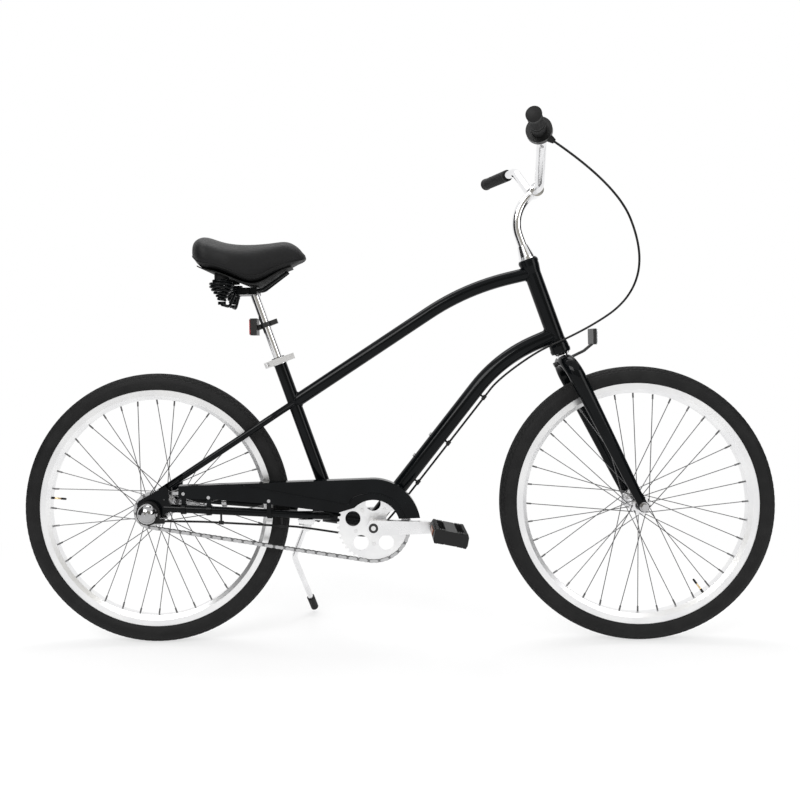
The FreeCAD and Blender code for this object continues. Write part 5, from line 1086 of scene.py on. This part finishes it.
# %% [markdown]
# ## Shift cable
# One cable leaves the twist shifter, swings out in front of the bars in a free loop, and
# then runs under the down tube and along the chainstay to the hub. Its line is a smooth
# spline along the same route as the CAD tube.


# %% Cable routes
def smooth_route(name, points):
    """A spline whose control points are the route's points; its line is read back as an array."""
    curve = bpy.data.curves.new(name, "CURVE")
    curve.dimensions = "3D"
    spline = curve.splines.new("NURBS")
    spline.points.add(len(points) - 1)
    spline.points.foreach_set("co", np.column_stack([points, np.ones(len(points))]).ravel())
    spline.order_u = 3
    spline.use_endpoint_u = True
    spline.resolution_u = 24
    holder = bpy.data.objects.new(name, curve)
    bpy.context.scene.collection.objects.link(holder)
    bpy.context.view_layer.update()
    line = bpy.data.meshes.new_from_object(holder.evaluated_get(bpy.context.evaluated_depsgraph_get()))
    found = np.zeros(len(line.vertices) * 3)
    line.vertices.foreach_get("co", found)
    bpy.data.objects.remove(holder)
    return found.reshape(-1, 3)


CABLE_RADIUS = 0.0025
LOOP = np.array([(352.1, -207.0, 1144.9), (500, -157, 1060), (572, -112, 915), (552, -80, 810),
                 (455, -46, 740), (378, -28, 706)]) * 0.001
loop_line = smooth_route("loop_route", LOOP)
loop = put_tube("shift_cable", loop_line, CABLE_RADIUS, 12, cable_cover)
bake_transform(loop)
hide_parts("shift_cable_loop")

# %% [markdown]
# The rest of the cable is held to the frame by five guides, so it moves with the frame. Its
# route has a point at every guide, which keeps the spline inside them, and a few at the turn
# under the cranks.

# %% Cable along the frame
HELD = np.array([(378, -28, 706), (345.8, -20.5, 691.8), (255.8, 0, 624.8), (221.8, 0, 582.6),
                 (134, 0, 473.2), (58.7, 0, 379.3), (21, 0, 332.3), (2.2, 0, 308.9), (-53, -13, 251.5),
                 (-111, -22, 260.5), (-227, -30, 281), (-269.8, -34.7, 284.8), (-412.6, -50.3, 297.4),
                 (-465, -56, 302), (-541.1, -73, 307)]) * 0.001
held_line = smooth_route("held_route", HELD)
held = put_tube("frame_cable", held_line, CABLE_RADIUS, 12, cable_cover, "frame")
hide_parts("shift_cable_frame")
print("held cable", round(line_length(held_line), 3))

# %% [markdown]
# ## Grips and twist ring
# Both grips are rubber sleeves with rings cut round them, and a lip at the bar's end. The
# twist ring next to the right one has ribs along it for the thumb. Each is a closed profile
# turned round the bar, out along the skin and back along the bore; the ribs swell the skin.

# %% Grips
BAR_END, BAR_KNEE = np.array([0.286, 0.316, 1.1706]), np.array([0.338, 0.156, 1.166])
BORE, GRIP_RADIUS, RING_DEEP, RING_STEP, GRIP_SIDES = 0.01115, 0.0155, 0.0006, 0.004, 40


def grip_profile(length):
    """A lip at the end, then rings 4 mm apart cut 0.6 mm deep."""
    along = np.linspace(0.006, length, int(length * 2500))
    ringed = smooth_step(0.012, 0.016, along) * (1.0 - smooth_step(length - 0.008, length - 0.004, along))
    wave = 0.5 - 0.5 * np.cos(along * 2.0 * np.pi / RING_STEP)
    radius = GRIP_RADIUS - RING_DEEP * ringed * wave ** 2
    lip = [(-0.004, 0.0), (-0.004, 0.0148), (-0.0033, 0.0159), (-0.002, 0.0165), (0.002, 0.0165),
           (0.0045, 0.0159)]
    bore = [(length, BORE), (-0.0001, BORE), (-0.0001, 0.0)]
    return np.concatenate([lip, np.column_stack([along, radius]), bore])


mirror = np.array([1.0, -1.0, 1.0])
for name, side, length in (("grip_left_rubber", np.ones(3), 0.125), ("grip_right_rubber", mirror, 0.062)):
    profile = grip_profile(length)
    skin = turned_points(BAR_END * side, (BAR_KNEE - BAR_END) * side, profile, GRIP_SIDES)
    grip = put_mesh(name, skin, grid_faces(len(profile), GRIP_SIDES, False, True), grip_rubber, "steering")
    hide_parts("grips")
print("grips", 2)


# %% Twist ring
THUMB_RIBS, THUMB_RIB_DEEP = 24.0, 0.0007
TWIST_START, TWIST_END, TWIST_RADIUS, TWIST_SIDES = 0.0623, 0.1003, 0.017, 192


def thumb_ribs(turn, along, radius):
    """Ribs along the ring, faded out at both of its ends, on the skin only."""
    middle = smooth_step(0.065, 0.069, along) * (1.0 - smooth_step(0.096, 0.0995, along))
    wave = 0.5 - 0.5 * np.cos(THUMB_RIBS * turn)
    return np.where(radius > 0.014, -THUMB_RIB_DEEP * middle * wave, 0.0)


twist_skin = np.column_stack([np.linspace(TWIST_START + 0.003, TWIST_END, 40), np.full(40, TWIST_RADIUS)])
twist_profile = np.concatenate([[(TWIST_START, BORE), (TWIST_START, 0.015)], twist_skin,
                                [(TWIST_END, BORE)]])
twist_points = turned_points(BAR_END * mirror, (BAR_KNEE - BAR_END) * mirror, twist_profile, TWIST_SIDES,
                             thumb_ribs)
twist = put_mesh("twist_rubber", twist_points, grid_faces(len(twist_profile), TWIST_SIDES, True, True),
                 grip_rubber, "twist_ring")
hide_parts("twist_ring")
print("twist ring points", twist_points.shape[:2])

# %% [markdown]
# ## Pedal blocks
# A platform pedal grips the shoe with toothed blocks between its rails and its barrel. CAD
# leaves these four hollows of each end plate open. A block is a toothed section carried
# across the plate; one is worked out, and mirrored to the hollows above and below, in front
# and behind. The platform hangs a little nose down, so all of them are tilted with it.

# %% Toothed blocks in the pedals
BLOCK_TOP = [(0.0135, 0.0135), (0.0150, 0.0158), (0.0165, 0.0158), (0.0175, 0.0142), (0.0185, 0.0142),
             (0.0195, 0.0158), (0.0215, 0.0158), (0.0225, 0.0142), (0.0235, 0.0142), (0.0245, 0.0158),
             (0.0265, 0.0158), (0.0275, 0.0135)]
BLOCK_SECTION = np.array(BLOCK_TOP + [(0.0240, 0.0106), (0.0165, 0.0106)])
PEDAL_NEAR, PEDAL_FAR, PLATE_DEEP, PLATE_GAP = 0.083, 0.179, 0.011, 0.0002


def block_points(toward, above, low, high):
    """The section at both ends of the block, drawn together beyond them so that it is closed."""
    section = BLOCK_SECTION * [toward, above]
    ring = np.stack([section[:, 0], np.zeros(len(section)), section[:, 1]], axis=1)
    return capped(np.stack([ring + [0.0, low, 0.0], ring + [0.0, high, 0.0]]))


for name, eye_x, side, body, finish_of in (
        ("pedal_blocks_right", PEDAL_RIGHT_X, -1.0, "pedal_right", pedal_right_plastic),
        ("pedal_blocks_left", PEDAL_LEFT_X, 1.0, "pedal_left", pedal_left_plastic)):
    shapes = np.stack([block_points(toward, above, low, low + PLATE_DEEP)
                       for toward in (-1.0, 1.0) for above in (-1.0, 1.0)
                       for low in (PEDAL_NEAR + PLATE_GAP, PEDAL_FAR - PLATE_DEEP - PLATE_GAP)])
    x, y, z = np.moveaxis(shapes, -1, 0)
    blocks = np.stack([eye_x + x * math.cos(PEDAL_TILT) + z * math.sin(PEDAL_TILT), side * y,
                       CRANK_Z - x * math.sin(PEDAL_TILT) + z * math.cos(PEDAL_TILT)], axis=-1)
    count = len(BLOCK_SECTION)
    quads = grid_faces(4, count, False, True)
    faces = (quads[None] + 4 * count * np.arange(len(blocks))[:, None, None]).reshape(-1, 4)
    treads = put_mesh(name, blocks, faces, finish_of, body, smooth=False)
print("pedal blocks", 16)

# %% [markdown]
# ## Welds
# Where two tubes meet, a welder leaves a rippled bead. Its line is the curve in which one
# tube's surface enters the other: for each turn round the first tube, the distance along it
# to the second one's surface is the root of a quadratic. A small circle swells and shrinks
# along that line, once for every drop of weld.


# %% Weld beads
def weld_line(origin, way, radius, other, axis, other_radius, count=144):
    """Points round a tube, each followed along the tube to the surface of the other tube."""
    way, first, second = axis_frame(way)
    axis = np.asarray(axis, float) / np.linalg.norm(axis)
    turn = np.arange(count)[:, None] * 2.0 * np.pi / count
    ring = np.asarray(origin, float) + radius * (np.cos(turn) * first + np.sin(turn) * second)
    off = ring - np.asarray(other, float)
    off = off - (off @ axis)[:, None] * axis
    pace = way - (way @ axis) * axis
    square, cross = pace @ pace, off @ pace
    inside = np.einsum("ij,ij->i", off, off) - other_radius ** 2
    reach = (-cross + np.sqrt(np.maximum(cross ** 2 - square * inside, 0.0))) / square
    return ring + reach[:, None] * way


HEAD, SEAT, YOKE = (-0.32061, 0.0, 0.94721), (-0.33051, 0.0, 0.9438), (-0.98823, 0.0, 0.15299)
HEAD_SPOT, SEAT_SPOT, CRANK = (0.34398, 0.0, 0.88343), (-0.23987, 0.0, 0.577), (CRANK_X, 0.0, CRANK_Z)
DROP_LENGTH, BEAD_THICK, BEAD_RIPPLE, BEAD_SIDES = 0.003, 0.0019, 0.0004, 8
JOINTS = [
    # tube: a point, its way out, its radius; the tube it meets: a point, its axis, its radius
    (HEAD_SPOT, (-0.97705, 0.0, -0.21303), 0.0159, HEAD_SPOT, HEAD, 0.02),
    ((0.39488, 0.0, 0.73303), (-0.92388, 0.0, -0.38268), 0.01905, HEAD_SPOT, HEAD, 0.02),
    (SEAT_SPOT, (0.84162, 0.0, 0.54007), 0.0159, SEAT_SPOT, SEAT, 0.01595),
    ((-0.1432, 0.0, 0.301), SEAT, 0.0159, CRANK, YOKE, 0.02),
    (CRANK, (0.626, 0.0, 0.7798), 0.01905, CRANK, (0.0, 1.0, 0.0), 0.0205),
    (CRANK, YOKE, 0.02, CRANK, (0.0, 1.0, 0.0), 0.0205),
    ((-0.23587, 0.005, 0.57957), (-0.0521, 0.033, -0.0335), 0.008, SEAT_SPOT, SEAT, 0.0159),
    ((-0.23587, -0.005, 0.57957), (-0.0521, -0.033, -0.0335), 0.008, SEAT_SPOT, SEAT, 0.0159),
]
bead_points, bead_faces = [], []
for joint in JOINTS:
    line = weld_line(*joint)
    drops = round(2.0 * np.pi * joint[2] / DROP_LENGTH)
    swell = BEAD_THICK + BEAD_RIPPLE * np.cos(drops * np.arange(len(line)) * 2.0 * np.pi / len(line))
    before = BEAD_SIDES * sum(len(points) for points in bead_points)
    bead_faces.append(grid_faces(len(line), BEAD_SIDES, True, True) + before)
    bead_points.append(swept_points(line, swell, BEAD_SIDES, True, joint[1]))
welds = put_mesh("weld_beads", np.concatenate(bead_points), np.concatenate(bead_faces), frame_paint, "frame")
print("welds", len(JOINTS))

# %% [markdown]
# ## Guard crease
# The chain guard is pressed from one sheet, and a raised crease along it stiffens the
# sheet. It slants down towards the cranks, and then bends round their opening.

# %% Crease on the chain guard
CREASE_RADIUS = 0.0016
CREASE = np.array([(-362, -62, 388), (-236, -62, 363.5), (-135, -62, 344), (-108, -62, 338),
                   (-104, -62, 351), (-86, -62, 362), (-51, -62, 367.5), (-13, -62, 357.5), (14, -62, 334),
                   (24, -62, 306)]) * 0.001
crease_line = smooth_route("crease_route", CREASE)
crease = put_tube("guard_crease", crease_line, CREASE_RADIUS, 10, guard_paint, "frame")
print("crease points", len(crease_line))
